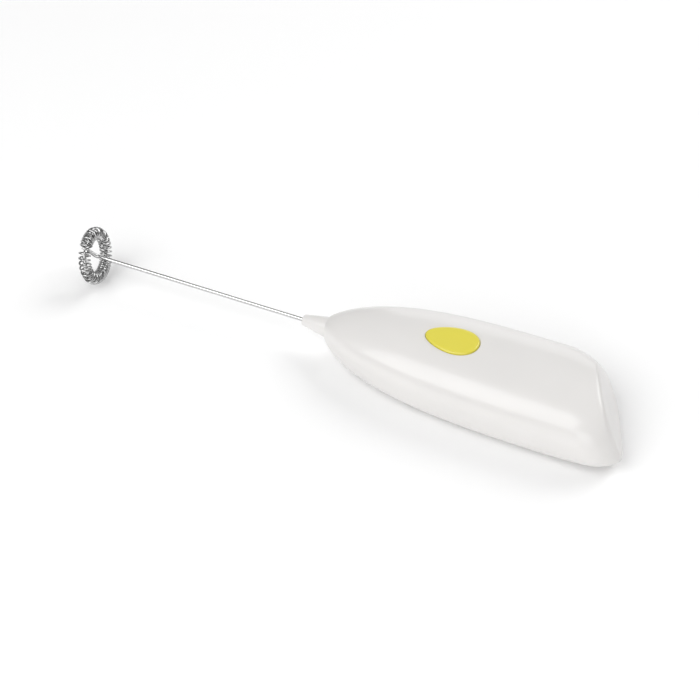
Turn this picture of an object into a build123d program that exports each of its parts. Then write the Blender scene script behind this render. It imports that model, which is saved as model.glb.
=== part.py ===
"""Battery milk frother: a spring-ring whisk on a small motor, in a two-cell handle.

The handle lies on its belly.  +X runs from the whisk to the tail, +Z is up, through the button,
and the origin is the middle of the flat that the handle rests on.  Stations along the handle are
measured from the start of its nose, and heights from the axis of the whisk.
"""
from build123d import *
from math import asin, copysign, cos, degrees, pi, radians, sin, sqrt
import os

# ---------------------------------------------------------------- handle, outside
HANDLE_LENGTH = 115.0     # on the axis, from the start of the nose to the tail face
HALF_WIDTH = 21.8         # at the widest section
WIDEST_AT = 101.0
TAIL_WIDTH = 0.71         # width left at the tail face
CROWN = 14.2              # height above the axis
CROWN_AT = 91.5
BELLY = 13.5              # depth below the axis
BELLY_AT = 84.0
TAIL_BELLY = 0.66         # depth left at the tail face
WIDTH_SWELL = (3.55, 1.545)
CROWN_SWELL = (2.13, 2.50)
BELLY_SWELL = (3.09, 2.305)
TOP_POWER = 2.39          # superellipse power of a section, above the axis
BELLY_POWER = 3.37        # and below it
LEAN_ACROSS = 0.40        # slant of the tail face, along per across
LEAN_UP = 0.465           # and along per up
NECK_AT = 2.2             # where the nose cone ends and the handle starts
AXIS_HEIGHT = 13.0        # axis above the surface that the handle rests on
REST_AT = 70.0            # station of the origin
WALL = 2.0
NOSE_WALL = 3.0
SPLIT = -9.6              # parting plane between housing and belly plate

# ---------------------------------------------------------------- nose cone and whisk
CONE_TIP_AT = -8.1
CONE_TIP_R = 2.2
CONE_BASE_R = 4.0
CONE_ROUND = 0.7
SPIGOT_R = 3.2
SPIGOT_LENGTH = 3.8
CONE_BORE_R = 1.25
WIRE_R = 0.8
WIRE_SOCKET = 5.5         # depth of the wire in the coupler
RING_AT = -98.1           # station of the ring's centre
RING_R = 9.3              # centre line of the ring
RING_TIPPED = 11.0        # degrees that the ring leans forward
RING_TURNED = 6.6         # degrees that it is turned
ARM_ANGLE = 131.0         # where the arm meets the ring
CRANK_R = 2.0             # bends between shaft, arm and ring
RING_OPEN = 9.0           # degrees from the arm to the free end of the wire
COIL_R = 2.15             # outer radius of the spring that is threaded on the ring
COIL_WIRE = 0.5
COIL_START = 6.0          # degrees past the end of the arm's bend
COIL_END = 14.0           # degrees short of the arm

# ---------------------------------------------------------------- motor and coupler
COUPLER_AT = 7.0
COUPLER_LENGTH = 12.7
COUPLER_R = 2.4
SHAFT_R = 1.0
SHAFT_SOCKET = 6.2
MOTOR_AT = 23.0
CAN_LENGTH = 23.0
CAN_R = 10.05
CAN_FLAT = 7.55           # half the height across the flats
CAN_WALL = 0.8
CAP_LENGTH = 2.2
BOSS_R = 3.0
BOSS_LENGTH = 1.6
BUSH_R = 1.6
BUSH_LENGTH = 2.6
BUSH_SLACK = 0.03
MAGNET_GAP = 0.45         # between rotor and magnets
MAGNET_ARC = 110.0
ROTOR_R = 6.4
ROTOR_SETBACK = 4.6       # from the inside of the can's front
ROTOR_TAIL = 7.6          # from the rotor to the end cap, for the commutator and brushes
SLOT_R = 2.0
SLOT_CENTRE_R = 4.1
SLOT_MOUTH = 1.0
END_TURNS = 2.2
WINDING_SLACK = 0.1
COMMUTATOR_R = 2.0
COMMUTATOR_LENGTH = 3.6
BRUSH_THICK = 0.5
BRUSH_HALF = 0.9
BRUSH_LENGTH = 3.0
BRUSH_GAP = 0.05
TERMINAL_Y = 7.0
TERMINAL_LENGTH = 1.1
TERMINAL_HALF = 0.6
TERMINAL_THICK = 0.5

# ---------------------------------------------------------------- cells and contacts
CELL_R = 7.1
CELL_LENGTH = 50.5
NUB_R = 2.75
NUB_LENGTH = 1.3
CELL_PITCH = 14.7         # between the axes of the two cells
CELL_LEVEL = -2.5
STRIP = 0.4               # thickness of a contact plate
PLATE_HALF = 4.0
PLATE_LOW = -6.0
PLATE_HIGH = 1.5
DIMPLE = 1.1
DIMPLE_R = 1.6
FRONT_SPRING = 2.6
REAR_SPRING = 1.5
SPRING_R = 2.6
SPRING_WIRE_R = 0.3
SPRING_TURNS = 2.5
RIVET_R = 0.7
RIVET_SLACK = 0.1

# ---------------------------------------------------------------- chassis
BULKHEAD = 1.0
CHASSIS_WALL = 1.2
CHASSIS_SLACK = 0.3       # between chassis and housing
CELL_SLACK = 0.25         # between a cell and the tray
TRAY_TOP = 4.9
TRAY_WALL_LOW = -6.0
BULKHEAD_LOW = -8.6
SADDLE_SETBACK = 4.0      # from the front of the can
SADDLE_LENGTH = 11.0
SADDLE_LOW = -4.4
MOTOR_SLACK = 0.1
MOTOR_GAP = 1.4           # from the end cap to the bulkhead

# ---------------------------------------------------------------- button and switch
BUTTON_AT = 51.9
BUTTON_HALF_LENGTH = 10.4
BUTTON_HALF_WIDTH = 6.4
BUTTON_EGG = 0.21         # how much wider the rear half is
BUTTON_PROUD = 0.8
BUTTON_SLACK = 0.2
BUTTON_CAP_LOW = 9.0
FLANGE = 0.8
FLANGE_EDGE = 1.0
STEM_R = 1.6
STEM_TOP = 10.6
STEM_GAP = 0.15
PRESS_TRAVEL = 1.0
LEAF_THICK = 0.25
LEAF_HALF_WIDTH = 2.5
LEAF_ROOT_LENGTH = 4.0
LEAF_AHEAD = 1.9          # of the leaf's tip past the button's stem
LEAF_BEHIND = 5.1         # from the stem to the leaf's root
LEAF_RISE = 2.5
PAD_BEHIND = 3.1          # of the switch pad past the stem
PAD_HALF = 2.5
CONTACT_DOME_R = 1.2
CONTACT_GAP = 1.0
STRIP_THIN = 0.3
SUPPLY_HALF = 1.5
RISER_FAR = -2.8
RISER_NEAR = -5.2

# ---------------------------------------------------------------- door and screws
DOOR_HALF_WIDTH = 14.8
DOOR_CORNER = 3.0
DOOR_MARGIN_FRONT = 0.1   # of the opening past the front of the cells
DOOR_MARGIN_REAR = 0.9    # and past the rear
DOOR_SLACK = 0.2
DOOR_TOP_SLACK = 0.1
TONGUE_HALF = 3.0
TONGUE_REACH = 2.6
TONGUE_THICK = 0.95
TONGUE_LIFT = 0.25
TONGUE_ROOT = 2.0
NAIL_HALF = 5.0
NAIL_LENGTH = 2.4
NAIL_DEPTH = 0.8
STOP_HALF = 6.0
STOP_LIP = 0.8
STOP_THICK = 1.0
STOP_ROOT = 0.7
FRONT_SCREWS_SETBACK = 8.5
FRONT_SCREWS_Y = 11.5
REAR_SCREW_SETBACK = 3.5
SCREW_R = 0.95
SCREW_HEAD_R = 1.9
SCREW_HEAD = 0.7
SCREW_SEAT = -10.8
SCREW_TIP = -5.5
HEAD_SLACK = 0.2
PILOT_SLACK = 0.05
POST_R = 2.3
POST_TOP = -4.8
REST_RIB = 1.4
REST_RIB_SETBACK = 10.0   # from the front of the can
REST_RIB_HALF = 4.5

CELL_Y = CELL_PITCH / 2
CAN_REAR = MOTOR_AT + CAN_LENGTH
CAP_REAR = CAN_REAR + CAP_LENGTH
BULKHEAD_AT = CAP_REAR + MOTOR_GAP
PLATE_AT = BULKHEAD_AT + BULKHEAD
NEAR_CELL_AT = PLATE_AT + STRIP + DIMPLE
FAR_CELL_AT = PLATE_AT + STRIP + FRONT_SPRING
LINK_AT = FAR_CELL_AT + CELL_LENGTH
TRAY_REAR = LINK_AT + STRIP
TRAY_HALF = CELL_Y + CELL_R + CELL_SLACK
DECK = TRAY_TOP + CHASSIS_WALL
MAGNET_R = ROTOR_R + MAGNET_GAP
ROTOR_AT = MOTOR_AT + CAN_WALL + ROTOR_SETBACK
ROTOR_LENGTH = CAN_REAR - ROTOR_TAIL - ROTOR_AT
COUPLER_REAR = COUPLER_AT + COUPLER_LENGTH
SHAFT_AT = COUPLER_REAR - SHAFT_SOCKET
REAR_BUSH_AT = CAP_REAR + BOSS_LENGTH - BUSH_LENGTH
SADDLE_FRONT = MOTOR_AT + SADDLE_SETBACK
SADDLE_REAR = SADDLE_FRONT + SADDLE_LENGTH
REST_RIB_AT = MOTOR_AT + REST_RIB_SETBACK
DOOR_FRONT = NEAR_CELL_AT - DOOR_MARGIN_FRONT
DOOR_REAR = LINK_AT + DOOR_MARGIN_REAR
FRONT_SCREWS_AT = DOOR_FRONT - FRONT_SCREWS_SETBACK
SCREWS = (
    (FRONT_SCREWS_AT, -FRONT_SCREWS_Y),
    (FRONT_SCREWS_AT, FRONT_SCREWS_Y),
    (DOOR_REAR + REAR_SCREW_SETBACK, 0.0),
)
SUPPLY_TOP = DECK + STRIP_THIN
LEAF_TIP_AT = BUTTON_AT - LEAF_AHEAD
LEAF_ROOT_FRONT = BUTTON_AT + LEAF_BEHIND
LEAF_ROOT_REAR = LEAF_ROOT_FRONT + LEAF_ROOT_LENGTH
PAD_REAR = BUTTON_AT + PAD_BEHIND
LEAF_SLOPE = LEAF_RISE / (LEAF_ROOT_FRONT - LEAF_TIP_AT)
LEAF_LEVEL = SUPPLY_TOP + LEAF_SLOPE * (LEAF_ROOT_FRONT - BUTTON_AT + STEM_R) + LEAF_THICK
FAR = 200.0               # larger than the whole object


# ---------------------------------------------------------------- planes
def across(station, height=0.0):
    """Plane square to the whisk's axis: local x is across, local y is up, normal to the tail."""
    origin = (station - REST_AT, 0, AXIS_HEIGHT + height)
    return Plane(origin=origin, x_dir=(0, 1, 0), z_dir=(1, 0, 0))


def level(height):
    """Plane parallel to the table: local x is the station, local y is across."""
    return Plane(origin=(-REST_AT, 0, AXIS_HEIGHT + height), x_dir=(1, 0, 0), z_dir=(0, 0, 1))


def upright(y):
    """Plane along the handle: local x is the station, local y is the height, normal to -Y."""
    return Plane(origin=(-REST_AT, y, AXIS_HEIGHT), x_dir=(1, 0, 0), z_dir=(0, -1, 0))


# ---------------------------------------------------------------- the handle's form
def swell(station, peak, at, powers, tail):
    """Half size of a section: it grows from the nose to its peak, then draws in to the tail."""
    rise, roundness = powers
    front = 1 - (1 - min(station / at, 1)) ** rise
    draw = max(station - at, 0) / (HANDLE_LENGTH - at)
    return peak * front ** (1 / roundness) * (1 - (1 - tail) * draw ** 2)


def section(station, inset):
    """Closed curve of one section, on a plane that leans more the nearer it is to the tail."""
    a = swell(station, HALF_WIDTH, WIDEST_AT, WIDTH_SWELL, TAIL_WIDTH) - inset
    crown = swell(station, CROWN, CROWN_AT, CROWN_SWELL, 1.0) - inset
    belly = swell(station, BELLY, BELLY_AT, BELLY_SWELL, TAIL_BELLY) - inset
    share = station / HANDLE_LENGTH
    normal = (1, LEAN_ACROSS * share, LEAN_UP * share)
    plane = Plane(origin=(station - REST_AT, 0, AXIS_HEIGHT), z_dir=normal)
    points = []
    count = 32
    for i in range(count):
        turn = 2 * pi * i / count
        c, s = cos(turn), sin(turn)
        power = 2 / (TOP_POWER if s >= 0 else BELLY_POWER)
        y = a * copysign(abs(c) ** power, c)
        z = (crown if s >= 0 else belly) * copysign(abs(s) ** power, s)
        x = station - share * (LEAN_ACROSS * y + LEAN_UP * z)
        local = plane.to_local_coords(Vector(x - REST_AT, y, z + AXIS_HEIGHT))
        points.append((local.X, local.Y))
    with BuildSketch(plane) as outline:
        with BuildLine():
            Spline(*points, periodic=True)
        make_face()
    return outline.sketch


def form(inset, front, rear):
    """The handle's outer form drawn in by inset, from one station to another."""
    spans = 15
    shares = [i / spans for i in range(spans + 1)]
    stations = [front + (rear - front) * (t * t * (1 - t) + t ** 2.15) for t in shares]
    with BuildPart() as body:
        loft(sections=[section(station, inset) for station in stations])
    return body.part


def slab(stations, ys, heights, mode=Mode.ADD):
    """A block between two stations, two sides and two heights."""
    with BuildSketch(level(heights[0])) as base:
        with Locations(((stations[0] + stations[1]) / 2, (ys[0] + ys[1]) / 2)):
            Rectangle(stations[1] - stations[0], ys[1] - ys[0])
    extrude(base.sketch, amount=heights[1] - heights[0], mode=mode)


def rod(stations, radius, y=0.0, height=0.0, mode=Mode.ADD):
    """A cylinder along the handle."""
    with BuildSketch(across(stations[0])) as base:
        with Locations((y, height)):
            Circle(radius)
    extrude(base.sketch, amount=stations[1] - stations[0], mode=mode)


def post(x, y, radius, heights, mode=Mode.ADD):
    """An upright cylinder."""
    with BuildSketch(level(heights[0])) as base:
        with Locations((x, y)):
            Circle(radius)
    extrude(base.sketch, amount=heights[1] - heights[0], mode=mode)


def flatted(stations, radius, flat, mode=Mode.ADD):
    """A rod along the handle with two flats, one above and one below, as the motor's can has."""
    with BuildSketch(across(stations[0])) as base:
        Circle(radius)
        Rectangle(3 * radius, 2 * flat, mode=Mode.INTERSECT)
    extrude(base.sketch, amount=stations[1] - stations[0], mode=mode)


def egg(height, grow=0.0):
    """The button's outline at a height, narrow towards the whisk."""
    points = []
    count = 24
    for i in range(count):
        turn = 2 * pi * i / count
        x = BUTTON_AT + (BUTTON_HALF_LENGTH + grow) * cos(turn)
        y = (BUTTON_HALF_WIDTH * (1 + BUTTON_EGG * cos(turn)) + grow) * sin(turn)
        points.append((x, y))
    with BuildSketch(level(height)) as outline:
        with BuildLine():
            Spline(*points, periodic=True)
        make_face()
    return outline.sketch


def door_outline(grow=0.0):
    """The battery door seen from above, at the level that the handle rests on."""
    with BuildSketch(level(-AXIS_HEIGHT)) as outline:
        with Locations(((DOOR_FRONT + DOOR_REAR) / 2, 0)):
            RectangleRounded(
                DOOR_REAR - DOOR_FRONT + 2 * grow, 2 * (DOOR_HALF_WIDTH + grow), DOOR_CORNER
            )
    return outline.sketch


def finish(part, name):
    """Label a piece and write its STEP file."""
    part.label = name
    export_step(part, f"parts/{name}.step")


os.makedirs("parts", exist_ok=True)
outer_form = form(0.0, NECK_AT, HANDLE_LENGTH)
cavity_form = form(WALL, NECK_AT + NOSE_WALL, HANDLE_LENGTH - 1.2 * WALL)
fitting_form = form(WALL + CHASSIS_SLACK, NECK_AT + NOSE_WALL + 1, HANDLE_LENGTH - 1.4 * WALL)
wall_middle = form(WALL / 2, NECK_AT + NOSE_WALL, HANDLE_LENGTH - WALL / 2)

# ---------------------------------------------------------------- main housing
with BuildPart() as main_housing:
    add(outer_form)
    add(cavity_form, mode=Mode.SUBTRACT)
    slab((NECK_AT, FAR), (-FAR, FAR), (SPLIT, FAR), mode=Mode.INTERSECT)
    rod((NECK_AT - 1, NECK_AT + NOSE_WALL + 1), SPIGOT_R, mode=Mode.SUBTRACT)
    extrude(egg(BUTTON_CAP_LOW - 1, BUTTON_SLACK), amount=FAR, mode=Mode.SUBTRACT)
    for y in (-CELL_Y, CELL_Y):
        rod((NEAR_CELL_AT, LINK_AT), CELL_R + CELL_SLACK, y, CELL_LEVEL, mode=Mode.SUBTRACT)
with BuildPart() as posts:
    for x, y in SCREWS:
        post(x, y, POST_R, (SPLIT, POST_TOP))
        rib = (y, copysign(HALF_WIDTH, y)) if y else (-POST_R / 2, POST_R / 2)
        if y:
            slab((x - POST_R / 2, x + POST_R / 2), sorted(rib), (SPLIT, POST_TOP))
        else:
            slab((x, x + FAR), rib, (SPLIT, POST_TOP))
    add(wall_middle, mode=Mode.INTERSECT)
with BuildPart() as housing_with_posts:
    add(main_housing.part)
    add(posts.part)
    for x, y in SCREWS:
        post(x, y, SCREW_R + PILOT_SLACK, (SPLIT - 1, SCREW_TIP + PILOT_SLACK), mode=Mode.SUBTRACT)
finish(housing_with_posts.part, "main_housing")

# ---------------------------------------------------------------- nose cone
with BuildPart() as nose_cone:
    with BuildSketch(upright(0)):
        with BuildLine():
            tip = CONE_TIP_AT
            Polyline(
                (tip, CONE_BORE_R),
                (tip, CONE_TIP_R),
                (NECK_AT, CONE_BASE_R),
                (NECK_AT, SPIGOT_R),
                (NECK_AT + SPIGOT_LENGTH, SPIGOT_R),
                (NECK_AT + SPIGOT_LENGTH, CONE_BORE_R),
                close=True,
            )
        face = make_face()
        rim = face.vertices().group_by(Axis.X)[0].sort_by(Axis.Z)[-1]
        fillet(rim, radius=CONE_ROUND)
    revolve(axis=Axis((0, 0, AXIS_HEIGHT), (1, 0, 0)))
finish(nose_cone.part, "nose_cone")

# ---------------------------------------------------------------- belly plate
stop_front = DOOR_REAR + 2 * DOOR_SLACK
stop_rear = stop_front + STOP_ROOT
with BuildPart() as stop_root:
    slab((stop_front, stop_rear), (-STOP_HALF, STOP_HALF), (-AXIS_HEIGHT, SPLIT))
    add(wall_middle, mode=Mode.INTERSECT)
with BuildPart() as stop_lip:
    slab((stop_front, stop_rear), (-STOP_HALF, STOP_HALF), (SPLIT, SPLIT + STOP_THICK))
    lip_heights = (SPLIT + DOOR_TOP_SLACK, SPLIT + STOP_THICK)
    slab((DOOR_REAR - STOP_LIP, stop_front), (-STOP_HALF, STOP_HALF), lip_heights)
    add(fitting_form, mode=Mode.INTERSECT)
with BuildPart() as belly_plate:
    add(outer_form)
    add(cavity_form, mode=Mode.SUBTRACT)
    slab((-FAR, FAR), (-FAR, FAR), (-AXIS_HEIGHT, SPLIT), mode=Mode.INTERSECT)
    extrude(door_outline(DOOR_SLACK), amount=AXIS_HEIGHT, mode=Mode.SUBTRACT)
    add(stop_root.part)
    add(stop_lip.part)
    ends = (REST_RIB_AT, REST_RIB_AT + REST_RIB)
    slab(ends, (-REST_RIB_HALF, REST_RIB_HALF), (SPLIT - 0.6, -CAN_FLAT - MOTOR_SLACK))
    for x, y in SCREWS:
        post(x, y, SCREW_R + HEAD_SLACK, (-AXIS_HEIGHT, SPLIT), mode=Mode.SUBTRACT)
        post(x, y, SCREW_HEAD_R + HEAD_SLACK, (-AXIS_HEIGHT, SCREW_SEAT), mode=Mode.SUBTRACT)
finish(belly_plate.part, "belly_plate")

# ---------------------------------------------------------------- battery door
with BuildPart() as battery_door:
    add(outer_form)
    add(cavity_form, mode=Mode.SUBTRACT)
    slab((-FAR, FAR), (-FAR, FAR), (-AXIS_HEIGHT, SPLIT - DOOR_TOP_SLACK), mode=Mode.INTERSECT)
    extrude(door_outline(), amount=AXIS_HEIGHT, mode=Mode.INTERSECT)
    tongue_low = -AXIS_HEIGHT + WALL + TONGUE_LIFT - 0.1
    tongue = (tongue_low, tongue_low + TONGUE_THICK)
    slab((DOOR_FRONT - TONGUE_REACH, DOOR_FRONT + TONGUE_ROOT), (-TONGUE_HALF, TONGUE_HALF), tongue)
    root = (tongue_low - TONGUE_THICK, tongue_low + TONGUE_THICK)
    slab((DOOR_FRONT, DOOR_FRONT + TONGUE_ROOT), (-TONGUE_HALF, TONGUE_HALF), root)
    nail = (-AXIS_HEIGHT, -AXIS_HEIGHT + NAIL_DEPTH + 0.6)
    slab((DOOR_REAR - NAIL_LENGTH, DOOR_REAR), (-NAIL_HALF, NAIL_HALF), nail, mode=Mode.SUBTRACT)
finish(battery_door.part, "battery_door")

# ---------------------------------------------------------------- screws
with BuildPart() as case_screws:
    for x, y in SCREWS:
        post(x, y, SCREW_R, (SCREW_SEAT, SCREW_TIP))
        post(x, y, SCREW_HEAD_R, (SCREW_SEAT - SCREW_HEAD, SCREW_SEAT))
finish(case_screws.part, "case_screws")

# ---------------------------------------------------------------- power button
under_crown = form(WALL + BUTTON_SLACK, NECK_AT + NOSE_WALL, HANDLE_LENGTH)
under_flange = form(WALL + BUTTON_SLACK + FLANGE, NECK_AT + NOSE_WALL + 1, HANDLE_LENGTH + 5)
with BuildPart() as button_flange:
    extrude(egg(0, FLANGE_EDGE), amount=FAR)
    add(under_crown, mode=Mode.INTERSECT)
    add(under_flange, mode=Mode.SUBTRACT)
with BuildPart() as power_button:
    extrude(egg(BUTTON_CAP_LOW), amount=FAR)
    add(form(-BUTTON_PROUD, NECK_AT + NOSE_WALL, HANDLE_LENGTH), mode=Mode.INTERSECT)
    add(under_crown, mode=Mode.SUBTRACT)
    add(button_flange.part)
    post(BUTTON_AT, 0, STEM_R, (LEAF_LEVEL + STEM_GAP, STEM_TOP))
finish(power_button.part, "power_button")

# ---------------------------------------------------------------- motor, still parts
with BuildPart() as motor_can:
    flatted((MOTOR_AT, CAN_REAR), CAN_R, CAN_FLAT)
    inside = (MOTOR_AT + CAN_WALL, CAN_REAR)
    flatted(inside, CAN_R - CAN_WALL, CAN_FLAT - CAN_WALL, mode=Mode.SUBTRACT)
    rod((MOTOR_AT - BOSS_LENGTH, MOTOR_AT), BOSS_R)
    rod((MOTOR_AT - BOSS_LENGTH, MOTOR_AT + CAN_WALL), BUSH_R, mode=Mode.SUBTRACT)
finish(motor_can.part, "motor_can")

with BuildPart() as motor_end_cap:
    flatted((CAN_REAR, CAP_REAR), CAN_R, CAN_FLAT)
    rod((CAP_REAR, CAP_REAR + BOSS_LENGTH), BOSS_R)
    rod((CAN_REAR, CAP_REAR + BOSS_LENGTH), BUSH_R, mode=Mode.SUBTRACT)
finish(motor_end_cap.part, "motor_end_cap")

with BuildPart() as motor_magnets:
    for turn in (0, 180):
        start = turn - MAGNET_ARC / 2
        with BuildSketch(across(ROTOR_AT - END_TURNS / 2)):
            with BuildLine():
                CenterArc((0, 0), CAN_R - CAN_WALL, start, MAGNET_ARC)
                CenterArc((0, 0), MAGNET_R, start, MAGNET_ARC)
                for angle in (start, start + MAGNET_ARC):
                    c, s = cos(radians(angle)), sin(radians(angle))
                    Line((MAGNET_R * c, MAGNET_R * s), ((CAN_R - CAN_WALL) * c, (CAN_R - CAN_WALL) * s))
            make_face()
            Rectangle(3 * CAN_R, 2 * (CAN_FLAT - CAN_WALL), mode=Mode.INTERSECT)
        extrude(amount=ROTOR_LENGTH + END_TURNS)
finish(motor_magnets.part, "motor_magnets")

with BuildPart() as motor_bushes:
    for start in (MOTOR_AT - BOSS_LENGTH, REAR_BUSH_AT):
        rod((start, start + BUSH_LENGTH), BUSH_R)
        rod((start, start + BUSH_LENGTH), SHAFT_R + BUSH_SLACK, mode=Mode.SUBTRACT)
finish(motor_bushes.part, "motor_bushes")

with BuildPart() as motor_brushes:
    for side in (-1, 1):
        near = COMMUTATOR_R + BRUSH_GAP
        ys = sorted((side * near, side * (near + BRUSH_THICK)))
        slab((CAN_REAR - BRUSH_LENGTH, CAN_REAR), ys, (-BRUSH_HALF, BRUSH_HALF))
finish(motor_brushes.part, "motor_brushes")

with BuildPart() as motor_terminals:
    for side in (-1, 1):
        ys = (side * TERMINAL_Y - TERMINAL_HALF, side * TERMINAL_Y + TERMINAL_HALF)
        ends = (CAP_REAR, CAP_REAR + TERMINAL_LENGTH)
        slab(ends, ys, (-TERMINAL_THICK / 2, TERMINAL_THICK / 2))
finish(motor_terminals.part, "motor_terminals")

# ---------------------------------------------------------------- motor, turning parts
with BuildPart() as motor_shaft:
    rod((SHAFT_AT, REAR_BUSH_AT + BUSH_LENGTH - BUSH_SLACK), SHAFT_R)
finish(motor_shaft.part, "motor_shaft")

with BuildPart() as rotor_core:
    with BuildSketch(across(ROTOR_AT)):
        Circle(ROTOR_R)
        Circle(SHAFT_R, mode=Mode.SUBTRACT)
        with PolarLocations(SLOT_CENTRE_R, 3):
            Circle(SLOT_R, mode=Mode.SUBTRACT)
        with PolarLocations(SLOT_CENTRE_R + SLOT_R, 3):
            Rectangle(2 * SLOT_R, SLOT_MOUTH, mode=Mode.SUBTRACT)
    extrude(amount=ROTOR_LENGTH)
finish(rotor_core.part, "rotor_core")

with BuildPart() as rotor_windings:
    with BuildSketch(across(ROTOR_AT - END_TURNS)):
        with PolarLocations(SLOT_CENTRE_R, 3):
            Circle(SLOT_R - WINDING_SLACK)
    extrude(amount=ROTOR_LENGTH + 2 * END_TURNS)
finish(rotor_windings.part, "rotor_windings")

with BuildPart() as commutator:
    ends = (CAN_REAR - COMMUTATOR_LENGTH, CAN_REAR - BUSH_SLACK)
    rod(ends, COMMUTATOR_R)
    rod(ends, SHAFT_R, mode=Mode.SUBTRACT)
finish(commutator.part, "commutator")

with BuildPart() as shaft_coupler:
    rod((COUPLER_AT, COUPLER_REAR), COUPLER_R)
    rod((COUPLER_AT, COUPLER_AT + WIRE_SOCKET), WIRE_R, mode=Mode.SUBTRACT)
    rod((SHAFT_AT, COUPLER_REAR), SHAFT_R, mode=Mode.SUBTRACT)
    chamfer(shaft_coupler.edges().filter_by(GeomType.CIRCLE).sort_by(SortBy.RADIUS)[-2:], length=0.3)
finish(shaft_coupler.part, "shaft_coupler")

# ---------------------------------------------------------------- whisk
tipped, turned = radians(RING_TIPPED), radians(RING_TURNED)
ring_centre = Vector(RING_AT - REST_AT, 0, AXIS_HEIGHT)
ring_normal = Vector(cos(turned) * cos(tipped), sin(turned) * cos(tipped), sin(tipped))
ring_across = Vector(-sin(turned), cos(turned), 0)
ring_up = ring_normal.cross(ring_across)


def on_ring(angle, radius=1.0):
    """Offset from the ring's centre in its plane, at an angle in degrees."""
    return (ring_across * cos(radians(angle)) + ring_up * sin(radians(angle))) * radius


def bend(corner, before, after, radius):
    """Start, middle and end of an arc that rounds a corner between two directions."""
    half = before.get_angle(after) / 2
    reach = radius * sin(radians(half)) / cos(radians(half))
    inward = (after - before).normalized()
    middle = corner + inward * (radius / cos(radians(half)) - radius)
    return corner - before * reach, middle, corner + after * reach


forward = Vector(-1, 0, 0)
arm = on_ring(ARM_ANGLE)
crank = bend(ring_centre, forward, arm, CRANK_R)
arm_length = sqrt((RING_R - CRANK_R) ** 2 - CRANK_R ** 2)
arm_swing = degrees(asin(CRANK_R / (RING_R - CRANK_R)))
turn_centre = ring_centre + on_ring(ARM_ANGLE + arm_swing, RING_R - CRANK_R)
arm_end = ring_centre + arm * arm_length
ring_start = ring_centre + on_ring(ARM_ANGLE + arm_swing, RING_R)
turn_middle = ((arm_end - turn_centre) + (ring_start - turn_centre)).normalized() * CRANK_R
ring_first = ARM_ANGLE + arm_swing
ring_last = ARM_ANGLE + 360 - RING_OPEN
ring_middle = ring_centre + on_ring((ring_first + ring_last) / 2, RING_R)
ring_end = ring_centre + on_ring(ring_last, RING_R)
wire_root = Vector(COUPLER_AT + WIRE_SOCKET - REST_AT, 0, AXIS_HEIGHT)

with BuildPart() as whisk_wire:
    with BuildLine() as wire_path:
        Line(wire_root, crank[0])
        ThreePointArc(*crank)
        Line(crank[2], arm_end)
        ThreePointArc(arm_end, turn_centre + turn_middle, ring_start)
        ThreePointArc(ring_start, ring_middle, ring_end)
    with BuildSketch(Plane(origin=wire_root, z_dir=forward)):
        Circle(WIRE_R)
    sweep(path=wire_path.line)
finish(whisk_wire.part, "whisk_wire")

coil_first = ring_first + COIL_START
coil_arc = ring_last - COIL_END + RING_OPEN - coil_first
with BuildPart() as whisk_coil:
    start = on_ring(coil_first)
    with BuildSketch(Plane(origin=ring_centre, x_dir=start, z_dir=start.cross(ring_normal))):
        with Locations((RING_R, 0)):
            Circle(COIL_R)
            Circle(COIL_R - COIL_WIRE, mode=Mode.SUBTRACT)
    revolve(axis=Axis(ring_centre, ring_normal), revolution_arc=coil_arc)
finish(whisk_coil.part, "whisk_coil")

# ---------------------------------------------------------------- cells
for name, front, y, nub_first in (
    ("cell_near", NEAR_CELL_AT, -CELL_Y, True),
    ("cell_far", FAR_CELL_AT, CELL_Y, False),
):
    rear = front + CELL_LENGTH
    body = (front + NUB_LENGTH, rear) if nub_first else (front, rear - NUB_LENGTH)
    nub = (front, body[0]) if nub_first else (body[1], rear)
    with BuildPart() as cell:
        rod(body, CELL_R, y, CELL_LEVEL)
        rod(nub, NUB_R, y, CELL_LEVEL)
    finish(cell.part, name)

# ---------------------------------------------------------------- contacts and switch
supply_ys = (-TERMINAL_Y - SUPPLY_HALF, -TERMINAL_Y + SUPPLY_HALF)
plate_heights = (PLATE_LOW, PLATE_HIGH)
plate_ends = (PLATE_AT, PLATE_AT + STRIP)
with BuildPart() as positive_contact:
    slab(plate_ends, (-CELL_Y - PLATE_HALF, -CELL_Y + PLATE_HALF), plate_heights)
    rod((PLATE_AT + STRIP, NEAR_CELL_AT), DIMPLE_R, -CELL_Y, CELL_LEVEL)
    slab(plate_ends, (RISER_NEAR, RISER_FAR), (PLATE_HIGH, SUPPLY_TOP))
    slab((PLATE_AT, PAD_REAR), (RISER_NEAR, PAD_HALF), (DECK, SUPPLY_TOP))
    dome = (SUPPLY_TOP, LEAF_LEVEL - LEAF_THICK - CONTACT_GAP)
    post(BUTTON_AT, 0, CONTACT_DOME_R, dome)
finish(positive_contact.part, "positive_contact")


def spring(front, length, y):
    """A short coil spring between a contact plate and a cell."""
    origin = (front - REST_AT + SPRING_WIRE_R, y, AXIS_HEIGHT + CELL_LEVEL)
    height = length - 2 * SPRING_WIRE_R
    with BuildPart() as turns:
        with BuildLine() as path:
            Helix(height / SPRING_TURNS, height, SPRING_R, center=origin, direction=(1, 0, 0))
        with BuildSketch(Plane(origin=path.line @ 0, z_dir=path.line % 0)):
            Circle(SPRING_WIRE_R)
        sweep(path=path.line, is_frenet=True)
    return turns.part


with BuildPart() as negative_contact:
    slab(plate_ends, (CELL_Y - PLATE_HALF, CELL_Y + PLATE_HALF), plate_heights)
    rod((CAP_REAR + TERMINAL_LENGTH, PLATE_AT), RIVET_R, TERMINAL_Y)
    add(spring(PLATE_AT + STRIP, FRONT_SPRING, CELL_Y))
finish(negative_contact.part, "negative_contact")

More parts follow.
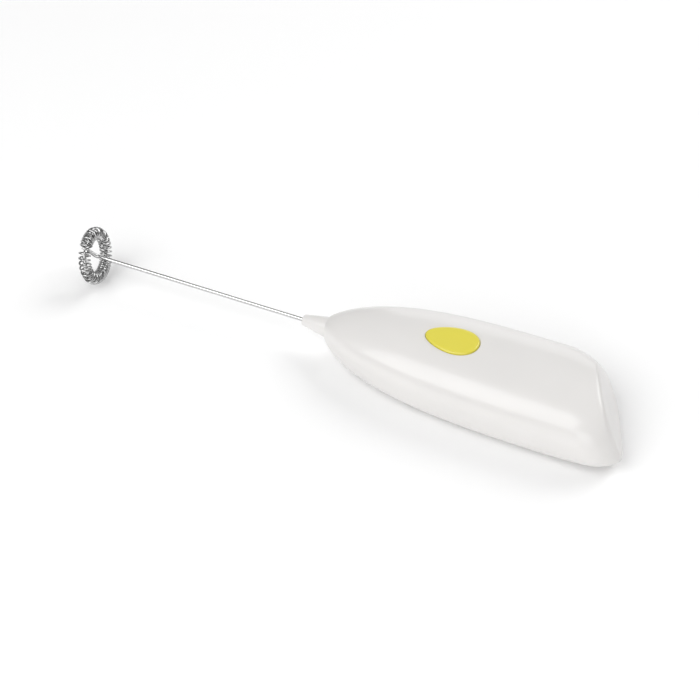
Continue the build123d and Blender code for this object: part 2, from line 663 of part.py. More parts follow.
with BuildPart() as link_plate:
    slab((LINK_AT, TRAY_REAR), (-CELL_Y - PLATE_HALF, CELL_Y + PLATE_HALF), plate_heights)
    add(spring(LINK_AT - REAR_SPRING, REAR_SPRING, -CELL_Y))
finish(link_plate.part, "link_plate")

with BuildPart() as supply_strip:
    leg = (BULKHEAD_AT - STRIP_THIN, BULKHEAD_AT)
    slab(leg, supply_ys, (-SUPPLY_HALF, SUPPLY_TOP))
    slab((leg[0], LEAF_ROOT_REAR), supply_ys, (DECK, SUPPLY_TOP))
finish(supply_strip.part, "supply_strip")

with BuildPart() as switch_leaf:
    with BuildSketch(upright(LEAF_HALF_WIDTH)):
        with BuildLine():
            Polyline(
                (LEAF_ROOT_REAR, SUPPLY_TOP),
                (LEAF_ROOT_FRONT, SUPPLY_TOP),
                (LEAF_TIP_AT, SUPPLY_TOP + LEAF_RISE),
                (LEAF_TIP_AT, SUPPLY_TOP + LEAF_RISE + LEAF_THICK),
                (LEAF_ROOT_FRONT, SUPPLY_TOP + LEAF_THICK),
                (LEAF_ROOT_REAR, SUPPLY_TOP + LEAF_THICK),
                close=True,
            )
        make_face()
    extrude(amount=2 * LEAF_HALF_WIDTH)
    ends = (LEAF_ROOT_FRONT, LEAF_ROOT_REAR)
    slab(ends, (supply_ys[0], -LEAF_HALF_WIDTH), (SUPPLY_TOP, SUPPLY_TOP + LEAF_THICK))
finish(switch_leaf.part, "switch_leaf")

# ---------------------------------------------------------------- chassis
side = TRAY_HALF + CHASSIS_WALL
cheek = CAN_R + MOTOR_SLACK + CHASSIS_WALL
with BuildPart() as chassis:
    tray = (BULKHEAD_AT, TRAY_REAR + BULKHEAD)
    slab(tray, (-side, side), (TRAY_TOP, DECK))
    slab((BULKHEAD_AT, PLATE_AT), (-side, side), (BULKHEAD_LOW, TRAY_TOP))
    slab((TRAY_REAR, TRAY_REAR + BULKHEAD), (-side, side), (TRAY_WALL_LOW, TRAY_TOP))
    for ys in ((-side, -TRAY_HALF), (TRAY_HALF, side)):
        slab(tray, ys, (TRAY_WALL_LOW, TRAY_TOP))
    saddle_top = CAN_FLAT + MOTOR_SLACK + CHASSIS_WALL
    slab((SADDLE_FRONT, SADDLE_REAR), (-cheek, cheek), (SADDLE_LOW, saddle_top))
    slab((SADDLE_REAR, BULKHEAD_AT), (-cheek, cheek), (SADDLE_LOW, -SADDLE_LOW))
    room = (MOTOR_AT, BULKHEAD_AT)
    flatted(room, CAN_R + MOTOR_SLACK, CAN_FLAT + MOTOR_SLACK, mode=Mode.SUBTRACT)
    rod((BULKHEAD_AT, PLATE_AT), BOSS_R + MOTOR_SLACK, mode=Mode.SUBTRACT)
    rod((BULKHEAD_AT, PLATE_AT), RIVET_R + RIVET_SLACK, TERMINAL_Y, mode=Mode.SUBTRACT)
    notch = (RISER_NEAR - RIVET_SLACK, RISER_FAR + RIVET_SLACK)
    slab((PLATE_AT, PLATE_AT + STRIP + RIVET_SLACK), notch, (TRAY_TOP, DECK), mode=Mode.SUBTRACT)
    add(fitting_form, mode=Mode.INTERSECT)
finish(chassis.part, "chassis")
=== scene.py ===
"""Battery milk frother: the moulded handle, its button, the spring-ring whisk and the workings.

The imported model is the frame.  The outer mouldings, the button, the screws, the cells and the
whisk are new surfaces that stand for their CAD nodes, and the other nodes keep their own meshes
and get the finish of what they are made of.  +X runs from the whisk to the tail and +Z is up.
Stations are measured along +X from the start of the handle's nose.
"""

from math import cos, pi, radians, sin

import bpy
import numpy as np
from bpy.props import FloatProperty, FloatVectorProperty, PointerProperty, StringProperty
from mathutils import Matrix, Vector


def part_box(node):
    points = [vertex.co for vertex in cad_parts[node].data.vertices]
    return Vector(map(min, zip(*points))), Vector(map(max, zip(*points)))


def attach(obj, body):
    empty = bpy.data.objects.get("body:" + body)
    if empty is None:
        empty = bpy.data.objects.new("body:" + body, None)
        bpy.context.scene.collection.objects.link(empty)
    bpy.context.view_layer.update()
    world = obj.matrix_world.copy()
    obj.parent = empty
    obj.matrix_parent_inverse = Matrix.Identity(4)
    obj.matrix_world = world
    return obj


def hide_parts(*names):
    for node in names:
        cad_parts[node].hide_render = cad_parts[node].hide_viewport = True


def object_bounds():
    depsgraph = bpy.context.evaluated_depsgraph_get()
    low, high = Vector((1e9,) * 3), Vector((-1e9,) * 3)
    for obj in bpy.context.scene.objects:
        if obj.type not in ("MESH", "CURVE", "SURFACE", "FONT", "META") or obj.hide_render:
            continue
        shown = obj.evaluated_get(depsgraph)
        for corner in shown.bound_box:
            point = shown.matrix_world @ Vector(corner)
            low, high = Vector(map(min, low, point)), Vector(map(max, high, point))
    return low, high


bl_info = {
    "name": "Milk frother",
    "version": (1, 0, 0),
    "blender": (4, 5, 0),
    "location": "3D View > Sidebar > Frother",
    "description": "Builds the looks of a battery milk frother around its packed CAD frame",
    "category": "Object",
}

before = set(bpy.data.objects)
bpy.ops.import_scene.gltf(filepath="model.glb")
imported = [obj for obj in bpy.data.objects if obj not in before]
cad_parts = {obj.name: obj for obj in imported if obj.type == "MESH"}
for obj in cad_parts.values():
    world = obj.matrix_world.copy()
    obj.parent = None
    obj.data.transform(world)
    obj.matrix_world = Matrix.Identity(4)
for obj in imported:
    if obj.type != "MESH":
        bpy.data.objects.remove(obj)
cad_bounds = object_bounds()

MM = 0.001
SHARP = radians(32)                    # edges that turn more than this stay crisp
CONE_LOW, CONE_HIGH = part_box("nose_cone")
SHAFT_LOW, SHAFT_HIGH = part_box("motor_shaft")
DOOR_LOW, DOOR_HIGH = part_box("battery_door")
HOUSING_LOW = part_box("main_housing")[0]
AXIS_HEIGHT = (SHAFT_LOW.z + SHAFT_HIGH.z) / 2
CONE_OVERHANG = 8.1 * MM               # of the cone's tip in front of the nose
START = CONE_LOW.x + CONE_OVERHANG     # x of station 0
SPLIT = HOUSING_LOW.z - AXIS_HEIGHT    # parting plane, from the axis
SPIGOT = 3.2 * MM                      # radius of the cone's spigot and of its hole
DOOR_CORNER = 3 * MM                   # radius of the corners of the door and of its opening
BELOW = 5 * MM                         # how far a cut starts outside the belly
FAR = 0.2                              # larger than the whole object
WIDTH_SWELL = (3.55, 1.545)            # rise and roundness of the width, towards the nose
CROWN_SWELL = (2.13, 2.50)             # the same, above the axis
BELLY_SWELL = (3.09, 2.305)            # the same, below it
CROWDING = 1.7                         # sections stand closer together towards the nose


# ---------------------------------------------------------------- settings
def size(name, text, value):
    """A length in metres, given here in millimetres."""
    return FloatProperty(name=name, description=text, default=value * MM, unit="LENGTH", precision=5)


def share(name, text, value):
    """A plain number."""
    return FloatProperty(name=name, description=text, default=value)


def paint(name, text, value):
    """A colour as an sRGB hex value."""
    return StringProperty(name=name, description=text, default=value)


class HandleSettings(bpy.types.PropertyGroup):
    """Form of the handle: three swelling half sizes and the slant of its tail."""

    length: size("Length", "From the start of the nose to the tail face", 115.0)
    half_width: size("Half width", "At the widest section", 21.8)
    widest_at: size("Widest at", "Station of the widest section", 101.0)
    crown: size("Crown", "Height above the whisk's axis", 14.2)
    crown_at: size("Crown at", "Station of the highest section", 91.5)
    belly: size("Belly", "Depth below the axis", 13.5)
    belly_at: size("Belly at", "Station of the deepest section", 84.0)
    tail_width: share("Tail width", "Share of the width left at the tail face", 0.71)
    tail_belly: share("Tail belly", "Share of the depth left at the tail face", 0.66)
    lean_across: share("Lean across", "Slant of the tail face, along per across", 0.40)
    lean_up: share("Lean up", "Slant of the tail face, along per up", 0.465)
    top_power: share("Top power", "Superellipse power above the axis", 2.39)
    belly_power: share("Belly power", "Superellipse power below the axis", 3.37)
    neck_at: size("Neck at", "Station where the nose cone ends", 2.2)
    wall: size("Wall", "Thickness of the mouldings", 2.0)
    tail_round: size("Tail round", "Radius of the edge of the tail face", 1.7)
    seam: size("Seam", "Half width of the groove between housing and belly plate", 0.12)
    seam_depth: size("Seam depth", "Depth of that groove", 0.3)


class ButtonSettings(bpy.types.PropertyGroup):
    """The egg-shaped power button, narrow towards the whisk."""

    station: size("Station", "Station of the button's middle", 51.9)
    half_length: size("Half length", "Along the handle", 10.4)
    half_width: size("Half width", "Across the handle", 6.4)
    egg: share("Egg", "How much wider the rear half is", 0.21)
    proud: size("Proud", "Height above the housing", 0.8)
    slack: size("Slack", "Gap round the button", 0.12)
    rim: size("Rim", "Radius of the rounded rim", 0.7)
    dish: size("Dish", "How far the middle is pressed in", 0.25)


class WhiskSettings(bpy.types.PropertyGroup):
    """The bent wire and the spring that is threaded on its ring."""

    wire: size("Wire", "Radius of the bent wire", 0.8)
    ring_at: size("Ring at", "Distance of the ring's centre in front of the nose", 98.1)
    ring: size("Ring", "Radius of the ring's centre line", 8.9)
    tipped: FloatProperty(name="Tipped", default=radians(11), subtype="ANGLE",
                          description="How far the ring leans forward")
    turned: FloatProperty(name="Turned", default=radians(6.6), subtype="ANGLE",
                          description="How far the ring is turned to one side")
    arm: FloatProperty(name="Arm", default=radians(121), subtype="ANGLE",
                       description="Where the arm meets the ring")
    bend: size("Bend", "Radius of the bends", 2.0)
    ring_open: FloatProperty(name="Open", default=radians(8.5), subtype="ANGLE",
                             description="From the arm to the free end of the wire")
    coil: size("Coil", "Outer radius of the spring", 2.55)
    coil_wire: size("Coil wire", "Thickness of the spring's wire", 0.74)
    tight_pitch: size("Tight pitch", "Between turns that are pushed together", 1.15)
    loose_pitch: size("Loose pitch", "Between turns that are drawn apart", 1.9)


class ColourSettings(bpy.types.PropertyGroup):
    """Colours of the parts that show."""

    housing: paint("Housing", "Pearl white moulded ABS", "#E0DEDC")
    button: paint("Button", "Lemon yellow moulded ABS", "#DFD44D")
    steel: paint("Whisk steel", "Bright stainless wire", "#CFCFCF")
    # painted shade: the coil's steel is darker than the whisk wire's steel to stand in for the darker
    # reflections and the shade among its turns
    coil: paint("Coil steel", "Stainless spring wire, a little duller", "#B2B2B2")
    chassis: paint("Chassis", "Grey moulded ABS inside", "#9C9D9B")
    sleeve: paint("Cell sleeve", "Shrunk film round the cells", "#5E7180")
    band: paint("Cell band", "Plain band on that film", "#C9CCCE")


class StageSettings(bpy.types.PropertyGroup):
    """Floor, lights and camera."""

    azimuth: FloatProperty(name="Azimuth", default=radians(23.355), subtype="ANGLE",
                           description="Camera's direction, round the object")
    elevation: FloatProperty(name="Elevation", default=radians(45.88), subtype="ANGLE",
                             description="Camera's height above the horizon")
    distance: size("Distance", "From the camera to the point that it aims at", 674.3)
    aim: FloatVectorProperty(name="Aim", default=(-0.0574, -0.0033, 0.0080), subtype="TRANSLATION",
                             description="Point that the camera looks at")
    lens: FloatProperty(name="Lens", default=91.82, description="Focal length on a 36 mm sensor")
    floor: paint("Floor", "Pale floor", "#FCFCFC")


class FrotherSettings(bpy.types.PropertyGroup):
    """All settings of the frother."""

    handle: PointerProperty(type=HandleSettings)
    button: PointerProperty(type=ButtonSettings)
    whisk: PointerProperty(type=WhiskSettings)
    colours: PointerProperty(type=ColourSettings)
    stage: PointerProperty(type=StageSettings)


# ---------------------------------------------------------------- meshes from arrays
def rings_shell(rings, ends="poles"):
    """Closed surface through rings of points, an array (rings, points round, 3).

    Each ring is joined to the next by quads.  The ends are closed by a fan round the mean point
    of the first and of the last ring, or, where ends is "loop", by joining last to first.
    Returns points and faces, with the faces turned so that the volume is positive.
    """
    rows, columns = rings.shape[:2]
    index = np.arange(rows * columns).reshape(rows, columns)
    after = np.roll(index, -1, axis=1)
    lower, upper = (index, np.roll(index, -1, axis=0)) if ends == "loop" else (index[:-1], index[1:])
    lower_after = after if ends == "loop" else after[:-1]
    upper_after = np.roll(after, -1, axis=0) if ends == "loop" else after[1:]
    quads = np.stack([lower, lower_after, upper_after, upper], axis=-1).reshape(-1, 4)
    points = rings.reshape(-1, 3)
    triangles = np.empty((0, 3), int)
    if ends == "poles":
        poles = np.array([rings[0].mean(axis=0), rings[-1].mean(axis=0)])
        first = np.full(columns, len(points))
        last = first + 1
        fans = [np.stack([index[0], first, after[0]], axis=-1)]
        fans.append(np.stack([index[-1], after[-1], last], axis=-1))
        triangles = np.concatenate(fans)
        points = np.concatenate([points, poles])
    corners = np.concatenate([triangles, quads[:, :3], quads[:, [0, 2, 3]]])
    a, b, c = (points[corners[:, i]] for i in range(3))
    if np.einsum("ij,ij->i", a, np.cross(b, c)).sum() < 0:
        quads, triangles = quads[:, ::-1], triangles[:, ::-1]
    return points, quads.tolist() + triangles.tolist()


def box_shell(low, high):
    """A block between two corners."""
    x, y, z = (np.array([low[i], high[i]]) for i in range(3))
    corners = np.array([[0, 0], [1, 0], [1, 1], [0, 1]])
    ring = np.stack([x[corners[:, 0]], y[corners[:, 1]]], axis=-1)
    rings = np.stack([np.column_stack([ring, np.full(4, height)]) for height in z])
    points = rings.reshape(-1, 3)
    faces = [[3, 2, 1, 0], [4, 5, 6, 7], [0, 1, 5, 4], [1, 2, 6, 5], [2, 3, 7, 6], [3, 0, 4, 7]]
    return points, faces


def revolved_shell(profile, origin, axis, count=72):
    """Solid turned about an axis through origin: a profile of (along, radius) carried round."""
    axis = np.array(axis, float)
    side = np.cross(axis, (0.0, 1.0, 0.0) if abs(axis[1]) < 0.9 else (1.0, 0.0, 0.0))
    side /= np.linalg.norm(side)
    other = np.cross(axis, side)
    turn = np.linspace(0, 2 * pi, count, endpoint=False)
    round_ = np.outer(np.cos(turn), side) + np.outer(np.sin(turn), other)
    profile = np.array(profile, float)
    along = profile[:, 0][:, None, None] * axis
    return rings_shell(np.array(origin, float) + along + profile[:, 1][:, None, None] * round_)


def tube_shell(path, radius, count=16, round_ends=True):
    """Tube along a path: each ring stands square to the path, turned as little as it can be."""
    tangent = np.gradient(path, axis=0)
    tangent /= np.linalg.norm(tangent, axis=1)[:, None]
    normal = np.empty_like(tangent)
    normal[0] = np.cross(tangent[0], (0.0, 0.6, 0.8))
    for i in range(1, len(path)):
        normal[i] = normal[i - 1]
        normal[i] -= tangent[i] * normal[i].dot(tangent[i])
        normal[i] /= np.linalg.norm(normal[i])
    normal[0] /= np.linalg.norm(normal[0])
    binormal = np.cross(tangent, normal)
    turn = np.linspace(0, 2 * pi, count, endpoint=False)[None, :, None]
    around = np.cos(turn) * normal[:, None] + np.sin(turn) * binormal[:, None]
    rings = path[:, None] + radius * around
    if round_ends:
        lift = np.linspace(0.1, 1.0, 4)[:, None, None] * pi / 2
        head = path[0] - radius * tangent[0] * np.cos(lift) + radius * np.sin(lift) * around[0]
        fall = lift[::-1]
        foot = path[-1] + radius * tangent[-1] * np.cos(fall) + radius * np.sin(fall) * around[-1]
        rings = np.concatenate([head[:-1], rings, foot[1:]])
    return rings_shell(rings)


def arc(centre, start, stop, radius, count=8):
    """Points of an arc in a profile, from one angle to another, in degrees."""
    turn = np.radians(np.linspace(start, stop, count))
    return [(centre[0] + radius * cos(t), centre[1] + radius * sin(t)) for t in turn]


def make_object(name, shell):
    """Object at the origin with a smooth mesh of that shell."""
    points, faces = shell
    mesh = bpy.data.meshes.new(name)
    mesh.from_pydata(points.tolist(), [], faces)
    mesh.update()
    piece = bpy.data.objects.new(name, mesh)
    bpy.context.scene.collection.objects.link(piece)
    return piece


def combine(piece, shell, operation):
    """Cut a shell from the piece, join it, or keep what both share."""
    tool = make_object("tool", shell)
    step = piece.modifiers.new("combine", "BOOLEAN")
    step.operation, step.solver, step.object = operation, "MANIFOLD", tool
    graph = bpy.context.evaluated_depsgraph_get()
    result = bpy.data.meshes.new_from_object(piece.evaluated_get(graph))
    piece.modifiers.clear()
    old_mesh, tool_mesh = piece.data, tool.data
    piece.data = result
    bpy.data.objects.remove(tool)
    bpy.data.meshes.remove(old_mesh)
    bpy.data.meshes.remove(tool_mesh)


def finish_piece(piece, body, nodes, materials):
    """Shade the piece, give it its finish, and hand it to the frame."""
    if not piece.data.polygons:
        raise RuntimeError(f"{piece.name} came out empty")
    piece.data.name = piece.name
    piece.data.shade_smooth()
    piece.data.set_sharp_from_angle(angle=SHARP)
    piece.data.materials.clear()
    for material in materials:
        piece.data.materials.append(material)
    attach(piece, body)
    if nodes:
        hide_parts(*nodes)


# ---------------------------------------------------------------- the handle's form
def swell(station, peak, at, shape, tail, length):
    """Half size of a section.

    From the nose to the peak it is (1 - (1 - station/at)^rise)^(1/roundness) of the peak, and
    from there a square law takes it down to the share that is left at the tail.
    """
    rise, roundness = shape
    front = 1 - (1 - np.minimum(station / at, 1)) ** rise
    draw = np.maximum(station - at, 0) / (length - at)
    return peak * front ** (1 / roundness) * (1 - (1 - tail) * draw ** 2)


def half_sizes(form, station):
    """Half width, crown and belly of the section at a station."""
    width = swell(station, form.half_width, form.widest_at, WIDTH_SWELL, form.tail_width, form.length)
    crown = swell(station, form.crown, form.crown_at, CROWN_SWELL, 1.0, form.length)
    belly = swell(station, form.belly, form.belly_at, BELLY_SWELL, form.tail_belly, form.length)
    return width, crown, belly


def handle_points(form, station, inset, scale, angle):
    """Points of the leaning sections, for arrays of stations and of angles round.

    At an angle t the section's radius is (|cos t / a|^p + |sin t / c|^p)^(-1/p), a superellipse,
    and a point moves along by its share of the tail's slant, across and up.
    """
    station, inset, scale = (value[:, None] for value in (station, inset, scale))
    across, up = np.cos(angle)[None, :], np.sin(angle)[None, :]
    width, crown, belly = half_sizes(form, station)
    tall = np.where(up >= 0, crown, belly) - inset
    power = np.where(up >= 0, form.top_power, form.belly_power)
    radius = (np.abs(across / (width - inset)) ** power + np.abs(up / tall) ** power) ** (-1 / power)
    y, z = scale * radius * across, scale * radius * up
    slant = station / form.length * (form.lean_across * y + form.lean_up * z)
    return np.stack([START + station - slant, y, z + AXIS_HEIGHT], axis=-1)


def handle_shell(form, inset, front, rear, edge, rows=150, columns=240):
    """The closed form drawn in by inset, from one station to another, with a rounded tail edge."""
    share_along = np.linspace(0, 1, rows)
    station = front + (rear - edge - front) * share_along ** CROWDING
    draw_in = np.full(rows, inset)
    quarter = np.linspace(0, pi / 2, 9)[1:]
    station = np.concatenate([station, rear - edge + edge * np.sin(quarter)])
    draw_in = np.concatenate([draw_in, inset + edge * (1 - np.cos(quarter))])
    scale = np.ones(len(station))
    face = np.linspace(1, 0.06, 14)[1:]
    station = np.concatenate([np.full(len(face), front), station, np.full(len(face), rear)])
    draw_in = np.concatenate([np.full(len(face), inset), draw_in, np.full(len(face), draw_in[-1])])
    scale = np.concatenate([face[::-1], scale, face])
    angle = np.linspace(0, 2 * pi, columns, endpoint=False)
    return rings_shell(handle_points(form, station, draw_in, scale, angle))


def surface_height(form, x, y, side):
    """Height of the form's surface over points x, y, above the axis (side 1) or below it (-1).

    The section that passes through a point depends on its height, so both are found in turn.
    """
    height = np.zeros_like(x)
    power = form.top_power if side > 0 else form.belly_power
    for _ in range(40):
        lean = (form.lean_across * y + form.lean_up * height) / form.length
        station = np.clip((x - START) / (1 - lean), form.neck_at, form.length)
        width, crown, belly = half_sizes(form, station)
        left = np.clip(1 - np.abs(y / width) ** power, 0, 1)
        height = side * (crown if side > 0 else belly) * left ** (1 / power)
    return height + AXIS_HEIGHT


def half_space(low=(-FAR, -FAR, -FAR), high=(FAR, FAR, FAR)):
    """A very large block, to cut with."""
    return box_shell(low, high)


def moulding(name, form):
    """The handle's whole skin: the outer form less the hollow inside it."""
    piece = make_object(name, handle_shell(form, 0.0, form.neck_at, form.length, form.tail_round))
    hollow_rear = form.length - 1.2 * form.wall
    hollow = handle_shell(form, form.wall, form.neck_at + 3 * MM, hollow_rear, 0.6 * MM, 70, 120)
    combine(piece, hollow, "DIFFERENCE")
    return piece


def seam_groove(form):
    """Shallow slot that runs round the handle where housing and belly plate meet."""
    level = SPLIT + AXIS_HEIGHT
    core = handle_shell(form, form.seam_depth, form.neck_at - 1 * MM, form.length - form.seam_depth,
                        form.tail_round, 90, 160)
    slice_ = half_space((-FAR, -FAR, level - form.seam), (FAR, FAR, level + form.seam))
    groove = make_object("groove", slice_)
    combine(groove, core, "DIFFERENCE")
    return groove


def mesh_shell(piece):
    """An object's mesh as a shell, for use as a tool; the object is deleted."""
    mesh = piece.data
    points = np.empty(len(mesh.vertices) * 3)
    mesh.vertices.foreach_get("co", points)
    faces = [list(face.vertices) for face in mesh.polygons]
    bpy.data.objects.remove(piece)
    bpy.data.meshes.remove(mesh)
    return points.reshape(-1, 3), faces


def egg_outline(button, grow, count=120):
    """The button's outline: x = a cos t, y = b (1 + e cos t) sin t, grown by a margin."""
    turn = np.linspace(0, 2 * pi, count, endpoint=False)
    x = START + button.station + (button.half_length + grow) * np.cos(turn)
    y = (button.half_width * (1 + button.egg * np.cos(turn)) + grow) * np.sin(turn)
    return x, y


def rounded_outline(centre, half_length, half_width, corner, count=9):
    """A rectangle with round corners, from its four corner arcs."""
    quarter = np.linspace(0, pi / 2, count)
    turn = np.concatenate([quarter + i * pi / 2 for i in range(4)])
    side_x = np.sign(np.cos(turn.reshape(4, count).mean(axis=1))).repeat(count)
    side_y = np.sign(np.sin(turn.reshape(4, count).mean(axis=1))).repeat(count)
    x = centre[0] + side_x * (half_length - corner) + corner * np.cos(turn)
    y = centre[1] + side_y * (half_width - corner) + corner * np.sin(turn)
    return x, y


def prism_shell(outlines, heights):
    """A prism whose outline may change with height: one outline and one height per ring."""
    rings = [np.stack([x, y, np.broadcast_to(z, x.shape)], axis=-1) for (x, y), z in zip(outlines, heights)]
    return rings_shell(np.array(rings))


# ---------------------------------------------------------------- materials
def linear(hex_colour):
    """sRGB hex value to a linear colour with alpha."""
    value = np.array([int(hex_colour[i:i + 2], 16) for i in (1, 3, 5)]) / 255
    value = np.where(value <= 0.04045, value / 12.92, ((value + 0.055) / 1.055) ** 2.4)
    return (*value.tolist(), 1.0)


def add_node(tree, kind, inputs=None, **settings):
    """Add a node, change its settings, and fill its inputs with values or other nodes' outputs."""
    made = tree.nodes.new(kind)
    for key, value in settings.items():
        setattr(made, key, value)
    for key, value in (inputs or {}).items():
        if isinstance(value, bpy.types.NodeSocket):
            tree.links.new(value, made.inputs[key])
        else:
            made.inputs[key].default_value = value
    return made


def new_material(name, **shader):
    """Material with one principled shader whose uniform values are set on its own sockets."""
    material = bpy.data.materials.new(name)
    material.use_nodes = True
    tree = material.node_tree
    tree.nodes.clear()
    surface = add_node(tree, "ShaderNodeBsdfPrincipled", shader)
    add_node(tree, "ShaderNodeOutputMaterial", {"Surface": surface.outputs[0]})
    return material, tree, surface


def object_points(tree, stretch=(1, 1, 1), centre=(0, 0, 0)):
    """Object coordinates, in metres, moved to a centre and stretched."""
    place = add_node(tree, "ShaderNodeTexCoord").outputs["Object"]
    moved = add_node(tree, "ShaderNodeVectorMath", {0: place, 1: centre}, operation="SUBTRACT").outputs[0]
    return add_node(tree, "ShaderNodeMapping", {"Vector": moved, "Scale": stretch}).outputs[0]


def noise(tree, points, grain, detail=3.0, roughness=0.5):
    """Noise whose blobs are about one grain across, in metres."""
    inputs = {"Vector": points, "Scale": 0.5 / grain, "Detail": detail, "Roughness": roughness}
    return add_node(tree, "ShaderNodeTexNoise", inputs).outputs["Fac"]


def wave_scale(period):
    """Scale at which a wave texture repeats once per period, in metres."""
    return 2 * pi / (20 * period)


def ramp(tree, value, low, high, bottom=0.0, top=1.0):
    """Stretch a value from one range to another, clamped."""
    inputs = {"Value": value, "From Min": low, "From Max": high, "To Min": bottom, "To Max": top}
    return add_node(tree, "ShaderNodeMapRange", inputs).outputs[0]


def mix(tree, factor, first, second):
    """Mix two colours by a factor."""
    made = add_node(tree, "ShaderNodeMix", data_type="RGBA")
    for socket, value in ((made.inputs[0], factor), (made.inputs[6], first), (made.inputs[7], second)):
        if isinstance(value, bpy.types.NodeSocket):
            tree.links.new(value, socket)
        else:
            socket.default_value = value
    return made.outputs[2]


def bump(tree, surface, height, depth):
    """Raise the surface by a height of 0 to 1 times a depth in metres."""
    inputs = {"Height": height, "Distance": depth, "Strength": 1.0}
    made = add_node(tree, "ShaderNodeBump", inputs)
    tree.links.new(made.outputs[0], surface.inputs["Normal"])


def tone(hex_colour, factor):
    """The same colour, lighter or darker, in linear light."""
    red, green, blue, alpha = linear(hex_colour)
    return (min(red * factor, 1), min(green * factor, 1), min(blue * factor, 1), alpha)


def moulded_gloss(name, colour, mottle=0.012, gloss=0.3, ripple=0.012):
    """ABS from a polished mould: an even colour with a soft, deep gloss.

    The flow of the melt leaves clouds about 12 mm across, the polish leaves a ripple about
    2.5 mm across, drawn a little deeper than the real few micrometres so that it shows, and
    handling leaves slightly duller patches."""
    material, tree, surface = new_material(name, IOR=1.53)
    surface.inputs["Coat Weight"].default_value = 0.35
    surface.inputs["Coat Roughness"].default_value = 0.07
    surface.inputs["Subsurface Weight"].default_value = 0.06
    surface.inputs["Subsurface Radius"].default_value = (0.6, 0.6, 0.5)
    surface.inputs["Subsurface Scale"].default_value = 1 * MM
    points = object_points(tree, (0.6, 1, 1))
    clouds = noise(tree, points, 12 * MM, 2.0)
    shade = mix(tree, ramp(tree, clouds, 0.35, 0.65), tone(colour, 1 - mottle), tone(colour, 1 + mottle))
    tree.links.new(shade, surface.inputs["Base Color"])
    wear = noise(tree, points, 5 * MM, 4.0, 0.6)
    tree.links.new(ramp(tree, wear, 0.3, 0.7, gloss, gloss * 1.25), surface.inputs["Roughness"])
    bump(tree, surface, noise(tree, points, 2.5 * MM, 1.0), ripple * MM)
    return material


def moulded_matte(name, colour, grain=0.35 * MM, rough=0.5, depth=0.02 * MM):
    """Plastic from a spark-eroded mould: an even colour over a fine, sandy texture."""
    material, tree, surface = new_material(name, IOR=1.5)
    points = object_points(tree)
    clouds = noise(tree, points, 8 * MM, 2.0)
    shade = mix(tree, ramp(tree, clouds, 0.3, 0.7), tone(colour, 0.95), tone(colour, 1.05))
    tree.links.new(shade, surface.inputs["Base Color"])
    sand = noise(tree, points, grain, 2.0, 0.7)
    tree.links.new(ramp(tree, sand, 0.3, 0.7, rough * 0.85, rough * 1.15), surface.inputs["Roughness"])
    bump(tree, surface, sand, depth)
    return material


def lined_metal(name, colour, rough, stretch, grain, depth=0.004 * MM, mottle=0.08):
    """Metal with fine lines left by a tool, a roll or a die, stretched along one direction.

    The lines give a soft streak to each highlight, and slow clouds dull it in places."""
    material, tree, surface = new_material(name, Metallic=1.0)
    lines = noise(tree, object_points(tree, stretch), grain, 3.0, 0.6)
    clouds = noise(tree, object_points(tree), 3 * MM, 2.0)
    shade = mix(tree, ramp(tree, lines, 0.3, 0.7), tone(colour, 1 - mottle), tone(colour, 1 + mottle))
    tree.links.new(shade, surface.inputs["Base Color"])
    tree.links.new(ramp(tree, clouds, 0.3, 0.7, rough * 0.8, rough * 1.25), surface.inputs["Roughness"])
    bump(tree, surface, lines, depth)
    return material


def turned_metal(name, colour, rough, centre, pitch=0.754 * MM):
    """Metal cut on a lathe: soft rings about the whisk's axis, coarser than the real tool marks."""
    material, tree, surface = new_material(name, Metallic=1.0)
    points = object_points(tree, centre=centre)
    inputs = {"Vector": points, "Scale": wave_scale(pitch), "Distortion": 0.4, "Detail": 2.0}
    rings = add_node(tree, "ShaderNodeTexWave", inputs, wave_type="RINGS", rings_direction="X")
    shade = mix(tree, rings.outputs["Fac"], tone(colour, 0.9), tone(colour, 1.06))
    tree.links.new(shade, surface.inputs["Base Color"])
    clouds = noise(tree, points, 2 * MM, 2.0)
    tree.links.new(ramp(tree, clouds, 0.3, 0.7, rough * 0.8, rough * 1.2), surface.inputs["Roughness"])
    bump(tree, surface, rings.outputs["Fac"], 0.003 * MM)
    return material


def sintered(name, colour, rough, metallic, grain=0.25 * MM):
    """Pressed and sintered powder: dull, with small dark pores between the grains."""
    material, tree, surface = new_material(name, Metallic=metallic)
    points = object_points(tree)
    inputs = {"Vector": points, "Scale": 1 / grain}
    pores = add_node(tree, "ShaderNodeTexVoronoi", inputs).outputs["Distance"]
    shade = mix(tree, ramp(tree, pores, 0.1, 0.6), tone(colour, 1.1), tone(colour, 0.55))
    tree.links.new(shade, surface.inputs["Base Color"])
    tree.links.new(ramp(tree, pores, 0, 1, rough, min(rough * 1.3, 1)), surface.inputs["Roughness"])
    bump(tree, surface, pores, 0.03 * MM)
    return material


def wound_copper(name, colour):
    """Enamelled copper wire: glossy diagonal ridges 2.2 mm apart, each standing for several strands, with
    painted shade in the grooves between them and painted light on their tops.
    """
    material, tree, surface = new_material(name, Metallic=0.85, Roughness=0.28)
    points = object_points(tree, centre=(0, 0, AXIS_HEIGHT))
    across_ridges = 2.177 * MM * 3 ** 0.5 / 2        # a diagonal wave is 2/sqrt(3) as wide
    inputs = {"Vector": points, "Scale": wave_scale(across_ridges), "Distortion": 0.6, "Detail": 1.0}
    strands = add_node(tree, "ShaderNodeTexWave", inputs, wave_type="BANDS", bands_direction="DIAGONAL")
    # painted shade and light: the colour runs from dark in the grooves between the ridges to light on their
    # tops
    shade = mix(tree, strands.outputs["Fac"], tone(colour, 0.45), tone(colour, 1.15))
    tree.links.new(shade, surface.inputs["Base Color"])
    surface.inputs["Coat Weight"].default_value = 0.5
    bump(tree, surface, strands.outputs["Fac"], 0.1 * MM)
    return material


